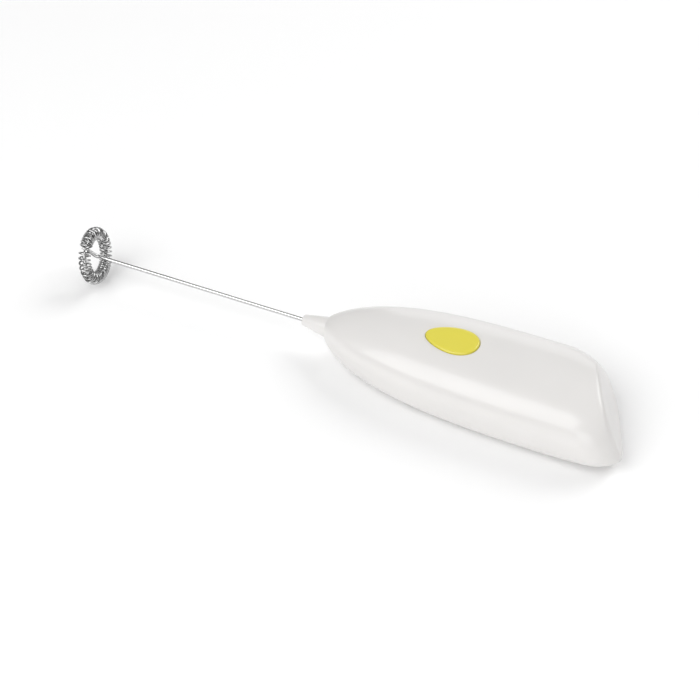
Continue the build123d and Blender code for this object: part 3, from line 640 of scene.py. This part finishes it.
def laminated_steel(name, colour):
    """A stack of punched steel sheets: dark lines 3.14 mm apart, one for every few sheets."""
    material, tree, surface = new_material(name, Metallic=1.0, Roughness=0.45)
    inputs = {"Vector": object_points(tree), "Scale": wave_scale(3.1416 * MM)}
    sheets = add_node(tree, "ShaderNodeTexWave", inputs, wave_type="BANDS", bands_direction="X")
    shade = mix(tree, ramp(tree, sheets.outputs["Fac"], 0.05, 0.3), tone(colour, 0.35), tone(colour, 1.05))
    tree.links.new(shade, surface.inputs["Base Color"])
    bump(tree, surface, sheets.outputs["Fac"], 0.04 * MM)
    return material


def shrunk_sleeve(name, colour, band, edge, towards):
    """Printed film shrunk on a cell: a dark field and one plain metallic band at an end.

    The film is thin and glossy, and its shrinking leaves faint lengthwise wrinkles."""
    material, tree, surface = new_material(name, IOR=1.5)
    surface.inputs["Coat Weight"].default_value = 0.6
    surface.inputs["Coat Roughness"].default_value = 0.1
    points = object_points(tree)
    along = add_node(tree, "ShaderNodeSeparateXYZ", {0: points}).outputs["X"]
    beyond = ramp(tree, along, edge - 0.02 * MM, edge + 0.02 * MM, *((0, 1) if towards > 0 else (1, 0)))
    speck = noise(tree, points, 0.4 * MM, 2.0)
    field = mix(tree, speck, tone(colour, 0.85), tone(colour, 1.25))
    metal = mix(tree, speck, tone(band, 0.9), tone(band, 1.12))
    tree.links.new(mix(tree, beyond, field, metal), surface.inputs["Base Color"])
    tree.links.new(ramp(tree, beyond, 0, 1, 0.0, 0.8), surface.inputs["Metallic"])
    tree.links.new(ramp(tree, speck, 0.3, 0.7, 0.29, 0.36), surface.inputs["Roughness"])
    wrinkles = noise(tree, object_points(tree, (0.08, 1, 1)), 0.6 * MM, 2.0)
    bump(tree, surface, wrinkles, 0.015 * MM)
    return material


def floor_paint(name, colour):
    """Matt painted board: nearly white, with a faint tooth 1 mm across."""
    material, tree, surface = new_material(name, Roughness=0.9, IOR=1.4)
    points = object_points(tree)
    tooth = noise(tree, points, 1 * MM, 2.0)
    shade = mix(tree, tooth, tone(colour, 0.995), tone(colour, 1.0))
    tree.links.new(shade, surface.inputs["Base Color"])
    return material


def once(name, maker, *values, **named):
    """A material by name, made the first time that it is asked for."""
    return bpy.data.materials.get(name) or maker(name, *values, **named)


# ---------------------------------------------------------------- operators
class BuildHousing(bpy.types.Operator):
    """Upper moulding of the handle, with the holes for button and cone and the seam's groove"""

    bl_idname = "frother.build_housing"
    bl_label = "Main housing"

    def execute(self, context):
        settings = context.scene.frother
        form, button = settings.handle, settings.button
        piece = moulding("housing_shell", form)
        level = SPLIT + AXIS_HEIGHT
        combine(piece, half_space(high=(FAR, FAR, level)), "DIFFERENCE")
        hole_length = 7 * MM
        spigot_hole = [(0, SPIGOT), (hole_length, SPIGOT)]
        combine(piece, revolved_shell(spigot_hole, (START, 0, AXIS_HEIGHT), (1, 0, 0)), "DIFFERENCE")
        x, y = egg_outline(button, button.slack)
        top = surface_height(form, x, y, 1)
        lip, under, over = 0.2 * MM, AXIS_HEIGHT + 6 * MM, 3 * MM
        quarter = np.linspace(0, pi / 2, 5)
        grows = [button.slack] + [button.slack + lip * (1 - cos(t)) for t in quarter]
        heights = [under] + [top - lip * (1 - sin(t)) for t in quarter]
        grows.append(button.slack + lip)
        heights.append(top + over)
        outlines = [egg_outline(button, grow) for grow in grows]
        combine(piece, prism_shell(outlines, heights), "DIFFERENCE")
        combine(piece, mesh_shell(seam_groove(form)), "DIFFERENCE")
        white = once("moulded_pearl_abs", moulded_gloss, settings.colours.housing)
        finish_piece(piece, "handle", ["main_housing"], [white])
        return {"FINISHED"}


class BuildBellyPlate(bpy.types.Operator):
    """Lower moulding of the handle, with the door's opening, the screw wells and the door's stop"""

    bl_idname = "frother.build_belly_plate"
    bl_label = "Belly plate"

    def execute(self, context):
        settings = context.scene.frother
        form = settings.handle
        piece = moulding("belly_shell", form)
        level = SPLIT + AXIS_HEIGHT
        combine(piece, half_space(low=(-FAR, -FAR, level)), "DIFFERENCE")
        combine(piece, half_space(high=(FAR, FAR, 0)), "DIFFERENCE")
        centre, half_length, half_width = door_place()
        slack = 0.2 * MM
        outline = rounded_outline(centre, half_length + slack, half_width + slack, DOOR_CORNER)
        combine(piece, prism_shell([outline] * 2, [-BELOW, AXIS_HEIGHT]), "DIFFERENCE")
        front, half, top = centre[0] + half_length + 2 * slack, 6 * MM, level + 1 * MM
        root_low, root_thick, lip_reach, lap = 1.6 * MM, 0.7 * MM, 1.2 * MM, 0.1 * MM
        root = box_shell((front, -half, root_low), (front + root_thick, half, top))
        combine(piece, root, "UNION")
        lip = box_shell((front - lip_reach, -half, level + lap), (front + lap, half, top))
        combine(piece, lip, "UNION")
        head, shank, seat, through = 2.1 * MM, 1.15 * MM, 2.2 * MM, 5 * MM
        well = [(-FAR, head), (seat, head), (seat, shank), (through, shank)]
        for x, y in screw_places():
            combine(piece, revolved_shell(well, (x, y, 0), (0, 0, 1), 48), "DIFFERENCE")
        combine(piece, mesh_shell(seam_groove(form)), "DIFFERENCE")
        white = once("moulded_pearl_abs", moulded_gloss, settings.colours.housing)
        finish_piece(piece, "handle", ["belly_plate"], [white])
        return {"FINISHED"}


def door_place():
    """Centre and half sizes of the battery door's panel."""
    tongue = 2.6 * MM
    front = DOOR_LOW.x + tongue
    centre = ((front + DOOR_HIGH.x) / 2, 0.0)
    return centre, (DOOR_HIGH.x - front) / 2, (DOOR_HIGH.y - DOOR_LOW.y) / 2


def screw_places():
    """Places of the three case screws."""
    low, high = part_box("case_screws")
    head = 1.9 * MM
    return [(low.x + head, low.y + head), (low.x + head, high.y - head), (high.x - head, 0.0)]


class BuildDoor(bpy.types.Operator):
    """Battery door in the belly, with its hinge tongue, grip lines and the slot for a nail"""

    bl_idname = "frother.build_door"
    bl_label = "Battery door"

    def execute(self, context):
        settings = context.scene.frother
        form = settings.handle
        piece = moulding("door_panel", form)
        level = SPLIT + AXIS_HEIGHT - 0.1 * MM
        combine(piece, half_space(low=(-FAR, -FAR, level)), "DIFFERENCE")
        combine(piece, half_space(high=(FAR, FAR, 0)), "DIFFERENCE")
        centre, half_length, half_width = door_place()
        outline = rounded_outline(centre, half_length, half_width, DOOR_CORNER)
        combine(piece, prism_shell([outline] * 2, [-BELOW, AXIS_HEIGHT]), "INTERSECT")
        front, rear = centre[0] - half_length, centre[0] + half_length
        half, lap, top, tongue_low, root_low = 3 * MM, 2 * MM, 3.1 * MM, 2.15 * MM, 1.2 * MM
        combine(piece, box_shell((DOOR_LOW.x, -half, tongue_low), (front + lap, half, top)), "UNION")
        combine(piece, box_shell((front, -half, root_low), (front + lap, half, top)), "UNION")
        grip_half, under = 5 * MM, -1 * MM
        nail = [rounded_outline((rear, 0), 2.4 * MM, grip_half, 1 * MM)] * 2
        combine(piece, prism_shell(nail, [under, 1.4 * MM]), "DIFFERENCE")
        first_line, line_pitch, line_half, line_depth = front + 4 * MM, 1.6 * MM, 0.35 * MM, 0.3 * MM
        for i in range(5):
            line = rounded_outline((first_line + i * line_pitch, 0), line_half, grip_half, 0.3 * MM)
            combine(piece, prism_shell([line] * 2, [under, line_depth]), "DIFFERENCE")
        white = once("moulded_pearl_abs", moulded_gloss, settings.colours.housing)
        finish_piece(piece, "door", ["battery_door"], [white])
        return {"FINISHED"}


class BuildCone(bpy.types.Operator):
    """Nose cone that the whisk's shaft comes out of"""

    bl_idname = "frother.build_cone"
    bl_label = "Nose cone"

    def execute(self, context):
        settings = context.scene.frother
        tip, neck, rear = CONE_LOW.x, START + settings.handle.neck_at, CONE_HIGH.x
        bore, front_radius, base_radius, edge = 1.25 * MM, 2.2 * MM, 4.0 * MM, 0.7 * MM
        bevel, fillet, flare = 0.15 * MM, 0.5 * MM, 0.05 * MM
        slope = np.degrees(np.arctan2(base_radius - front_radius, neck - tip))
        profile = [(rear, bore), (tip + bevel, bore), (tip, bore + bevel)]
        profile += arc((tip + edge, front_radius - edge), 180, 90 + slope, edge)
        profile += [(neck - fillet, base_radius - fillet * 0.12), (neck, base_radius + flare)]
        profile += [(neck, SPIGOT), (rear, SPIGOT)]
        white = once("moulded_pearl_abs", moulded_gloss, settings.colours.housing)
        piece = make_object("nozzle_cone", ring_of_profile(profile, (0, 0, AXIS_HEIGHT)))
        finish_piece(piece, "handle", ["nose_cone"], [white])
        return {"FINISHED"}


def ring_of_profile(profile, origin, count=96):
    """Ring-shaped solid: a closed profile of (x, radius) carried round an axis along X."""
    profile = np.array(profile)
    turn = np.linspace(0, 2 * pi, count, endpoint=False)[:, None]
    x = np.broadcast_to(profile[:, 0], (count, len(profile)))
    y, z = profile[:, 1] * np.cos(turn), profile[:, 1] * np.sin(turn)
    return rings_shell(np.stack([x, y, z], axis=-1) + np.array(origin), ends="loop")


class BuildButton(bpy.types.Operator):
    """Egg-shaped power button that follows the housing's curve, with a rounded rim"""

    bl_idname = "frother.build_button"
    bl_label = "Power button"

    def execute(self, context):
        settings = context.scene.frother
        form, button = settings.handle, settings.button
        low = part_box("power_button")[0]
        rim = button.rim
        outline = egg_outline(button, 0.0)
        top = surface_height(form, *outline, 1) + button.proud
        flange, flange_thick = 1.0 * MM, 0.8 * MM
        drop = 1.06 * form.wall + button.slack     # the wall is a little thicker, measured upright
        root_top = top - button.proud - drop
        edge_top = surface_height(form, *egg_outline(button, flange), 1) - drop
        rings = [(0.0, root_top - flange_thick), (flange, edge_top - flange_thick)]
        rings += [(flange, edge_top), (0.0, root_top)]
        for t in np.linspace(0, pi / 2, 8):
            rings.append((-rim * (1 - cos(t)), top - rim * (1 - sin(t))))
        layers = [np.stack([*egg_outline(button, grow), height], axis=-1) for grow, height in rings]
        centre_x = START + button.station
        edge_x, edge_y = egg_outline(button, -rim)
        for scale in np.linspace(1, 0.03, 26)[1:]:
            x, y = centre_x + (edge_x - centre_x) * scale, edge_y * scale
            dish = button.dish * (1 - scale ** 2) ** 1.5
            layers.append(np.stack([x, y, surface_height(form, x, y, 1) + button.proud - dish], axis=-1))
        radius, bevel, stem_top = 1.6 * MM, 0.2 * MM, AXIS_HEIGHT + 10.6 * MM
        stem = [(low.z, radius - bevel), (low.z + bevel, radius), (stem_top, radius)]
        piece = make_object("button_cap", rings_shell(np.array(layers)))
        combine(piece, revolved_shell(stem, (centre_x, 0, 0), (0, 0, 1), 40), "UNION")
        yellow = once("moulded_lemon_abs", moulded_gloss, settings.colours.button, mottle=0.03, gloss=0.3)
        finish_piece(piece, "button", ["power_button"], [yellow])
        return {"FINISHED"}


class BuildScrews(bpy.types.Operator):
    """Three pan-head screws with cross recesses"""

    bl_idname = "frother.build_screws"
    bl_label = "Case screws"

    def execute(self, context):
        low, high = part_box("case_screws")
        seat, shank = low.z + 0.7 * MM, 0.95 * MM
        piece = None
        for x, y in screw_places():
            profile = [(low.z + 0.02 * MM, 0.9 * MM), (low.z + 0.1 * MM, 1.35 * MM)]
            profile += arc((low.z + 0.5 * MM, 1.5 * MM), 200, 90, 0.4 * MM)
            profile += [(seat, 1.9 * MM), (seat, shank), (high.z - 0.6 * MM, shank), (high.z, 0.3 * MM)]
            shell = revolved_shell(profile, (x, y, 0), (0, 0, 1), 48)
            if piece is None:
                piece = make_object("case_screw_set", shell)
            else:
                combine(piece, shell, "UNION")
            arm, half = 1.1 * MM, 0.22 * MM
            for reach in ((arm, half), (half, arm)):
                slot = box_shell((x - reach[0], y - reach[1], low.z - 1 * MM),
                                 (x + reach[0], y + reach[1], low.z + 0.5 * MM))
                combine(piece, slot, "DIFFERENCE")
        zinc = once("zinc_plated_screw_steel", lined_metal, "#B9BAB8", 0.36, (1, 1, 0.3), 0.2 * MM)
        finish_piece(piece, "handle", ["case_screws"], [zinc])
        return {"FINISHED"}


def whisk_axes(whisk):
    """Unit vectors of the ring: its normal, across and up."""
    tip, turn = whisk.tipped, whisk.turned
    normal = np.array([cos(turn) * cos(tip), sin(turn) * cos(tip), sin(tip)])
    across = np.array([-sin(turn), cos(turn), 0.0])
    return normal, across, np.cross(normal, across)


def on_ring(whisk, angle, radius):
    """Points at angles round the ring, at a radius from its centre."""
    _, across, up = whisk_axes(whisk)
    centre = np.array([START - whisk.ring_at, 0, AXIS_HEIGHT])
    angle = np.atleast_1d(angle)[:, None]
    return centre + radius * (np.cos(angle) * across + np.sin(angle) * up)


def arc_between(centre, first, last, count):
    """Arc from one point to another about a centre, by turning one radius into the other."""
    a, b = first - centre, last - centre
    full = np.arccos(np.clip(a.dot(b) / np.linalg.norm(a) / np.linalg.norm(b), -1, 1))
    t = np.linspace(0, 1, count)[:, None]
    return centre + (np.sin((1 - t) * full) * a + np.sin(t * full) * b) / np.sin(full)


def ring_span(whisk):
    """Angles where the ring starts, after the arm's bend, and where its wire ends."""
    swing = np.arcsin(whisk.bend / (whisk.ring - whisk.bend))
    return whisk.arm + swing, whisk.arm + 2 * pi - whisk.ring_open


class BuildWire(bpy.types.Operator):
    """Whisk wire: a straight shaft, a crank at the ring's centre, an arm and the ring"""

    bl_idname = "frother.build_wire"
    bl_label = "Whisk wire"

    def execute(self, context):
        settings = context.scene.frother
        whisk = settings.whisk
        _, across, up = whisk_axes(whisk)
        centre = np.array([START - whisk.ring_at, 0, AXIS_HEIGHT])
        forward = np.array([-1.0, 0, 0])
        arm = cos(whisk.arm) * across + sin(whisk.arm) * up
        half = np.arccos(forward.dot(arm)) / 2
        reach = whisk.bend * np.tan(half)
        inward = (arm - forward) / np.linalg.norm(arm - forward)
        crank_centre = centre + inward * whisk.bend / np.cos(half)
        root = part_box("whisk_wire")[1].x
        shaft = np.linspace((root, 0, AXIS_HEIGHT), centre - forward * reach, 40)
        crank = arc_between(crank_centre, shaft[-1], centre + arm * reach, 14)
        first, last = ring_span(whisk)
        turn_centre = on_ring(whisk, first, whisk.ring - whisk.bend)[0]
        ring_start = on_ring(whisk, first, whisk.ring)[0]
        arm_end = centre + arm * ((whisk.ring - whisk.bend) ** 2 - whisk.bend ** 2) ** 0.5
        straight = np.linspace(crank[-1], arm_end, 10)
        bend = arc_between(turn_centre, arm_end, ring_start, 14)
        ring = on_ring(whisk, np.linspace(first, last, 110), whisk.ring)
        path = np.concatenate([shaft, crank[1:], straight[1:], bend[1:], ring[1:]])
        inner = path[0] + (path[1] - path[0]) * 0.02     # one ring close to the root
        path = np.concatenate([[path[0]], [inner], path[1:]])
        piece = make_object("whisk_stem", tube_shell(path, whisk.wire, 28, round_ends=False))
        steel = once("drawn_stainless_wire", lined_metal, settings.colours.steel, 0.2, (0.04, 1, 1),
                     0.25 * MM, depth=0.002 * MM, mottle=0.05)
        finish_piece(piece, "whisk", ["whisk_wire"], [steel])
        return {"FINISHED"}


class BuildCoil(bpy.types.Operator):
    """Spring threaded on the ring: tight turns at the top and below, loose turns at the sides"""

    bl_idname = "frother.build_coil"
    bl_label = "Whisk coil"

    def execute(self, context):
        settings = context.scene.frother
        whisk = settings.whisk
        first, last = ring_span(whisk)
        first, last = first - radians(13), last + radians(2.5)
        angle = np.linspace(first, last, 6000)
        loose = np.zeros_like(angle)
        for middle, spread, drawn in ((radians(162), radians(42), 1.0), (radians(345), radians(32), 0.6)):
            away = np.angle(np.exp(1j * (angle - middle)))
            loose += drawn * np.exp(-(away / spread) ** 4)
        pitch = whisk.tight_pitch + (whisk.loose_pitch - whisk.tight_pitch) * np.clip(loose, 0, 1)
        step = np.gradient(angle) * whisk.ring / pitch
        turns = np.cumsum(step) - step[0]
        turns *= np.round(turns[-1]) / turns[-1]
        wobble = 0.05 * MM * np.sin(turns * 0.9) * np.sin(turns * 0.23 + 1)
        radius = whisk.coil - whisk.coil_wire / 2 - np.abs(wobble)
        samples = int(turns[-1] * 26)
        even = np.linspace(0, turns[-1], samples)
        angle, radius = np.interp(even, turns, angle), np.interp(even, turns, radius)
        spin = 2 * pi * even[:, None]
        normal, across, up = whisk_axes(whisk)
        outward = np.cos(angle)[:, None] * across + np.sin(angle)[:, None] * up
        path = on_ring(whisk, angle, whisk.ring)
        path = path + radius[:, None] * (np.cos(spin) * outward + np.sin(spin) * normal)
        piece = make_object("spring_coil", tube_shell(path, whisk.coil_wire / 2, 10))
        # painted shade: this steel takes the coil's darkened colour, not a duller metal
        steel = once("spring_stainless_wire_painted_shade", lined_metal, settings.colours.coil, 0.17, (1, 1, 1),
                     0.3 * MM, depth=0.002 * MM, mottle=0.06)
        finish_piece(piece, "whisk", ["whisk_coil"], [steel])
        return {"FINISHED"}


FILM = 0.12 * MM                       # thickness of the sleeve on a cell


def can_profile(length, can):
    """Outline of a cell's steel can, from its nub to its rolled foot, as (along, radius)."""
    nub = [(0, 2.3), (0.12, 2.65), (0.3, 2.75), (1.1, 2.75), (1.25, 3.1)]
    shoulder = [(1.3, -1.6), (1.6, -1.1), (1.35, -0.8), (1.35, -0.4), (1.7, 0)]
    foot = [(0.9, 0), (0.35, -0.35), (0.1, -0.9), (0.1, -1.6), (0.3, -2.0), (0.02, -2.4)]
    outline = [(along * MM, radius * MM) for along, radius in nub]
    outline += [(along * MM, can + drawn * MM) for along, drawn in shoulder]
    outline += [(length - along * MM, can + drawn * MM) for along, drawn in foot]
    return outline + [(length, 3.0 * MM)]


def sleeve_profile(length, can, radius):
    """Closed outline of the film round a can: it folds in over both of the can's ends."""
    lap = can + 0.02 * MM
    front = [(1.4 * MM, lap), (1.35 * MM, can - 0.5 * MM), (1.3 * MM, can - 0.5 * MM)]
    front += [(1.22 * MM, can - 0.2 * MM), (1.3 * MM, radius - 0.05 * MM), (1.6 * MM, radius)]
    rear = [(length - 0.6 * MM, radius), (length - 0.2 * MM, radius - 0.3 * MM)]
    rear += [(length - 0.05 * MM, radius - 0.9 * MM), (length - 0.12 * MM, radius - 1.0 * MM)]
    rear += [(length - 0.3 * MM, can - 0.3 * MM), (length - 0.8 * MM, lap)]
    return front + rear


class BuildCells(bpy.types.Operator):
    """Two cells: a steel can with a nub and a rolled foot, and a shrunk sleeve round each"""

    bl_idname = "frother.build_cells"
    bl_label = "Cells"

    def execute(self, context):
        colours = context.scene.frother.colours
        steel = once("nickel_plated_can_steel", lined_metal, "#C4C3BF", 0.21, (0.2, 1, 1), 0.3 * MM)
        for name, nub_side in (("cell_near", -1), ("cell_far", 1)):
            low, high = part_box(name)
            centre = (low + high) / 2
            radius = (high.z - low.z) / 2
            nub_end = low.x if nub_side < 0 else high.x
            inward = 1 if nub_side < 0 else -1
            can = radius - FILM
            length = high.x - low.x
            profile = [(nub_end + inward * along, across) for along, across in can_profile(length, can)]
            body = make_object(name + "_can", revolved_shell(profile, (0, centre.y, centre.z), (1, 0, 0)))
            finish_piece(body, "handle", [name], [steel])
            wrap = sleeve_profile(length, can, radius)
            wrap = [(nub_end + inward * along, across) for along, across in wrap]
            sleeve = make_object(name + "_sleeve", ring_of_profile(wrap, (0, centre.y, centre.z)))
            band_edge = nub_end + inward * 14 * MM
            skin = once("shrunk_film_" + name, shrunk_sleeve, colours.sleeve, colours.band,
                        band_edge, -inward)
            finish_piece(sleeve, "handle", [], [skin])
        return {"FINISHED"}


def inner_finishes(colours):
    """Finish of each CAD node that keeps its own mesh."""
    axis = (0, 0, AXIS_HEIGHT)
    brass = once("rolled_contact_brass", lined_metal, "#C8A45A", 0.21, (0.1, 1, 1), 0.2 * MM)
    spring_steel = once("nickel_plated_spring_steel", lined_metal, "#CFCECA", 0.21, (1, 1, 1), 0.2 * MM)
    return {
        "chassis": once("moulded_grey_abs", moulded_matte, colours.chassis),
        "motor_can": once("zinc_plated_drawn_steel", lined_metal, "#A9AAA6", 0.36, (0.06, 1, 1), 0.25 * MM),
        "motor_end_cap": once("moulded_white_nylon", moulded_matte, "#E3E0D4", 0.25 * MM, 0.42),
        "motor_magnets": once("sintered_ferrite", sintered, "#242424", 0.7, 0.1),
        "motor_bushes": once("sintered_bronze", sintered, "#9A6E3A", 0.45, 1.0),
        "motor_brushes": brass,
        "motor_terminals": brass,
        "positive_contact": spring_steel,
        "negative_contact": spring_steel,
        "link_plate": spring_steel,
        "supply_strip": brass,
        "switch_leaf": once("rolled_phosphor_bronze", lined_metal, "#C48F55", 0.21, (0.1, 1, 1), 0.2 * MM),
        "motor_shaft": once("ground_shaft_steel", lined_metal, "#C6C7C8", 0.14, (30, 1, 1), 0.3 * MM),
        "rotor_core": once("laminated_rotor_steel", laminated_steel, "#6A6A6C"),
        "rotor_windings": once("enamelled_copper_wire", wound_copper, "#B8612E"),
        "commutator": once("turned_commutator_copper", turned_metal, "#B87848", 0.22, axis),
        "shaft_coupler": once("moulded_coupler_nylon", moulded_matte, "#DAD8CF", 0.2 * MM, 0.4),
    }


class FinishInside(bpy.types.Operator):
    """Finishes of the chassis, the motor's parts, the contacts and the switch"""

    bl_idname = "frother.finish_inside"
    bl_label = "Inner finishes"

    def execute(self, context):
        for name, material in inner_finishes(context.scene.frother.colours).items():
            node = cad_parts[name]
            for slot in node.material_slots:
                slot.material = material
        return {"FINISHED"}


def soft_light(name, place, target, size_m, power):
    """A soft box: a square area light turned towards a point."""
    lamp = bpy.data.lights.new(name, "AREA")
    lamp.shape, lamp.size, lamp.energy = "SQUARE", size_m, power
    holder = bpy.data.objects.new(name, lamp)
    holder.location = place
    holder.rotation_euler = (Vector(target) - Vector(place)).to_track_quat("-Z", "Y").to_euler()
    bpy.context.scene.collection.objects.link(holder)


class BuildStage(bpy.types.Operator):
    """Pale floor, soft studio light and the camera"""

    bl_idname = "frother.build_stage"
    bl_label = "Stage"

    def execute(self, context):
        scene = context.scene
        stage = scene.frother.stage
        lowest = min(0.0, cad_bounds[0].z)
        reach, thick, gap = 3.0, 20 * MM, 0.2 * MM
        slab = box_shell((-reach, -reach, lowest - thick), (reach, reach, lowest - gap))
        floor = make_object("floor", slab)
        floor.data.materials.append(floor_paint("matt_white_board", stage.floor))
        world = bpy.data.worlds.new("studio")
        scene.world = world
        world.use_nodes = True
        tree = world.node_tree
        tree.nodes.clear()
        way = add_node(tree, "ShaderNodeTexCoord").outputs["Generated"]
        up = add_node(tree, "ShaderNodeSeparateXYZ", {0: way}).outputs["Z"]
        sky = ramp(tree, up, 0.0, 0.75, 0.19, 0.32)
        glow = add_node(tree, "ShaderNodeBackground", {"Color": (1, 1, 1, 1), "Strength": sky})
        add_node(tree, "ShaderNodeOutputWorld", {"Surface": glow.outputs[0]})
        middle = (cad_bounds[0] + cad_bounds[1]) / 2
        soft_light("key", (-0.45, -0.75, 1.0), middle, 1.1, 11.6)
        soft_light("front", (0.35, -1.1, 0.35), middle, 0.7, 3.1)
        soft_light("back", (0.5, 0.8, 0.9), middle, 0.9, 8.0)
        soft_light("rim", (-0.25, 1.1, 0.26), middle, 0.6, 1.5)
        azimuth, elevation = stage.azimuth, stage.elevation
        back = Vector((sin(azimuth) * cos(elevation), -cos(azimuth) * cos(elevation), sin(elevation)))
        lens = bpy.data.cameras.new("camera")
        lens.lens, lens.sensor_width, lens.clip_start, lens.clip_end = stage.lens, 36.0, 0.01, 20.0
        camera = bpy.data.objects.new("camera", lens)
        camera.location = Vector(stage.aim) + back * stage.distance
        camera.rotation_euler = (-back).to_track_quat("-Z", "Y").to_euler()
        scene.collection.objects.link(camera)
        scene.camera = camera
        scene.view_settings.view_transform = "Standard"
        return {"FINISHED"}


OPERATORS = (
    BuildStage, BuildHousing, BuildBellyPlate, BuildDoor, BuildCone, BuildButton, BuildScrews,
    BuildWire, BuildCoil, BuildCells, FinishInside,
)


class FrotherPanel(bpy.types.Panel):
    """Lists the frother's build steps"""

    bl_label = "Milk frother"
    bl_idname = "VIEW3D_PT_frother"
    bl_space_type = "VIEW_3D"
    bl_region_type = "UI"
    bl_category = "Frother"

    def draw(self, context):
        for operator in OPERATORS:
            self.layout.operator(operator.bl_idname)


GROUPS = (HandleSettings, ButtonSettings, WhiskSettings, ColourSettings, StageSettings, FrotherSettings)
CLASSES = (*GROUPS, *OPERATORS, FrotherPanel)


def register():
    """Register the classes and hang the settings on the scene."""
    for cls in CLASSES:
        bpy.utils.register_class(cls)
    bpy.types.Scene.frother = PointerProperty(type=FrotherSettings)


def unregister():
    """Take both away again."""
    del bpy.types.Scene.frother
    for cls in reversed(CLASSES):
        bpy.utils.unregister_class(cls)


def main():
    """Build everything, in order."""
    register()
    for operator in OPERATORS:
        group, name = operator.bl_idname.split(".")
        getattr(getattr(bpy.ops, group), name)()


if __name__ == "__main__":
    main()
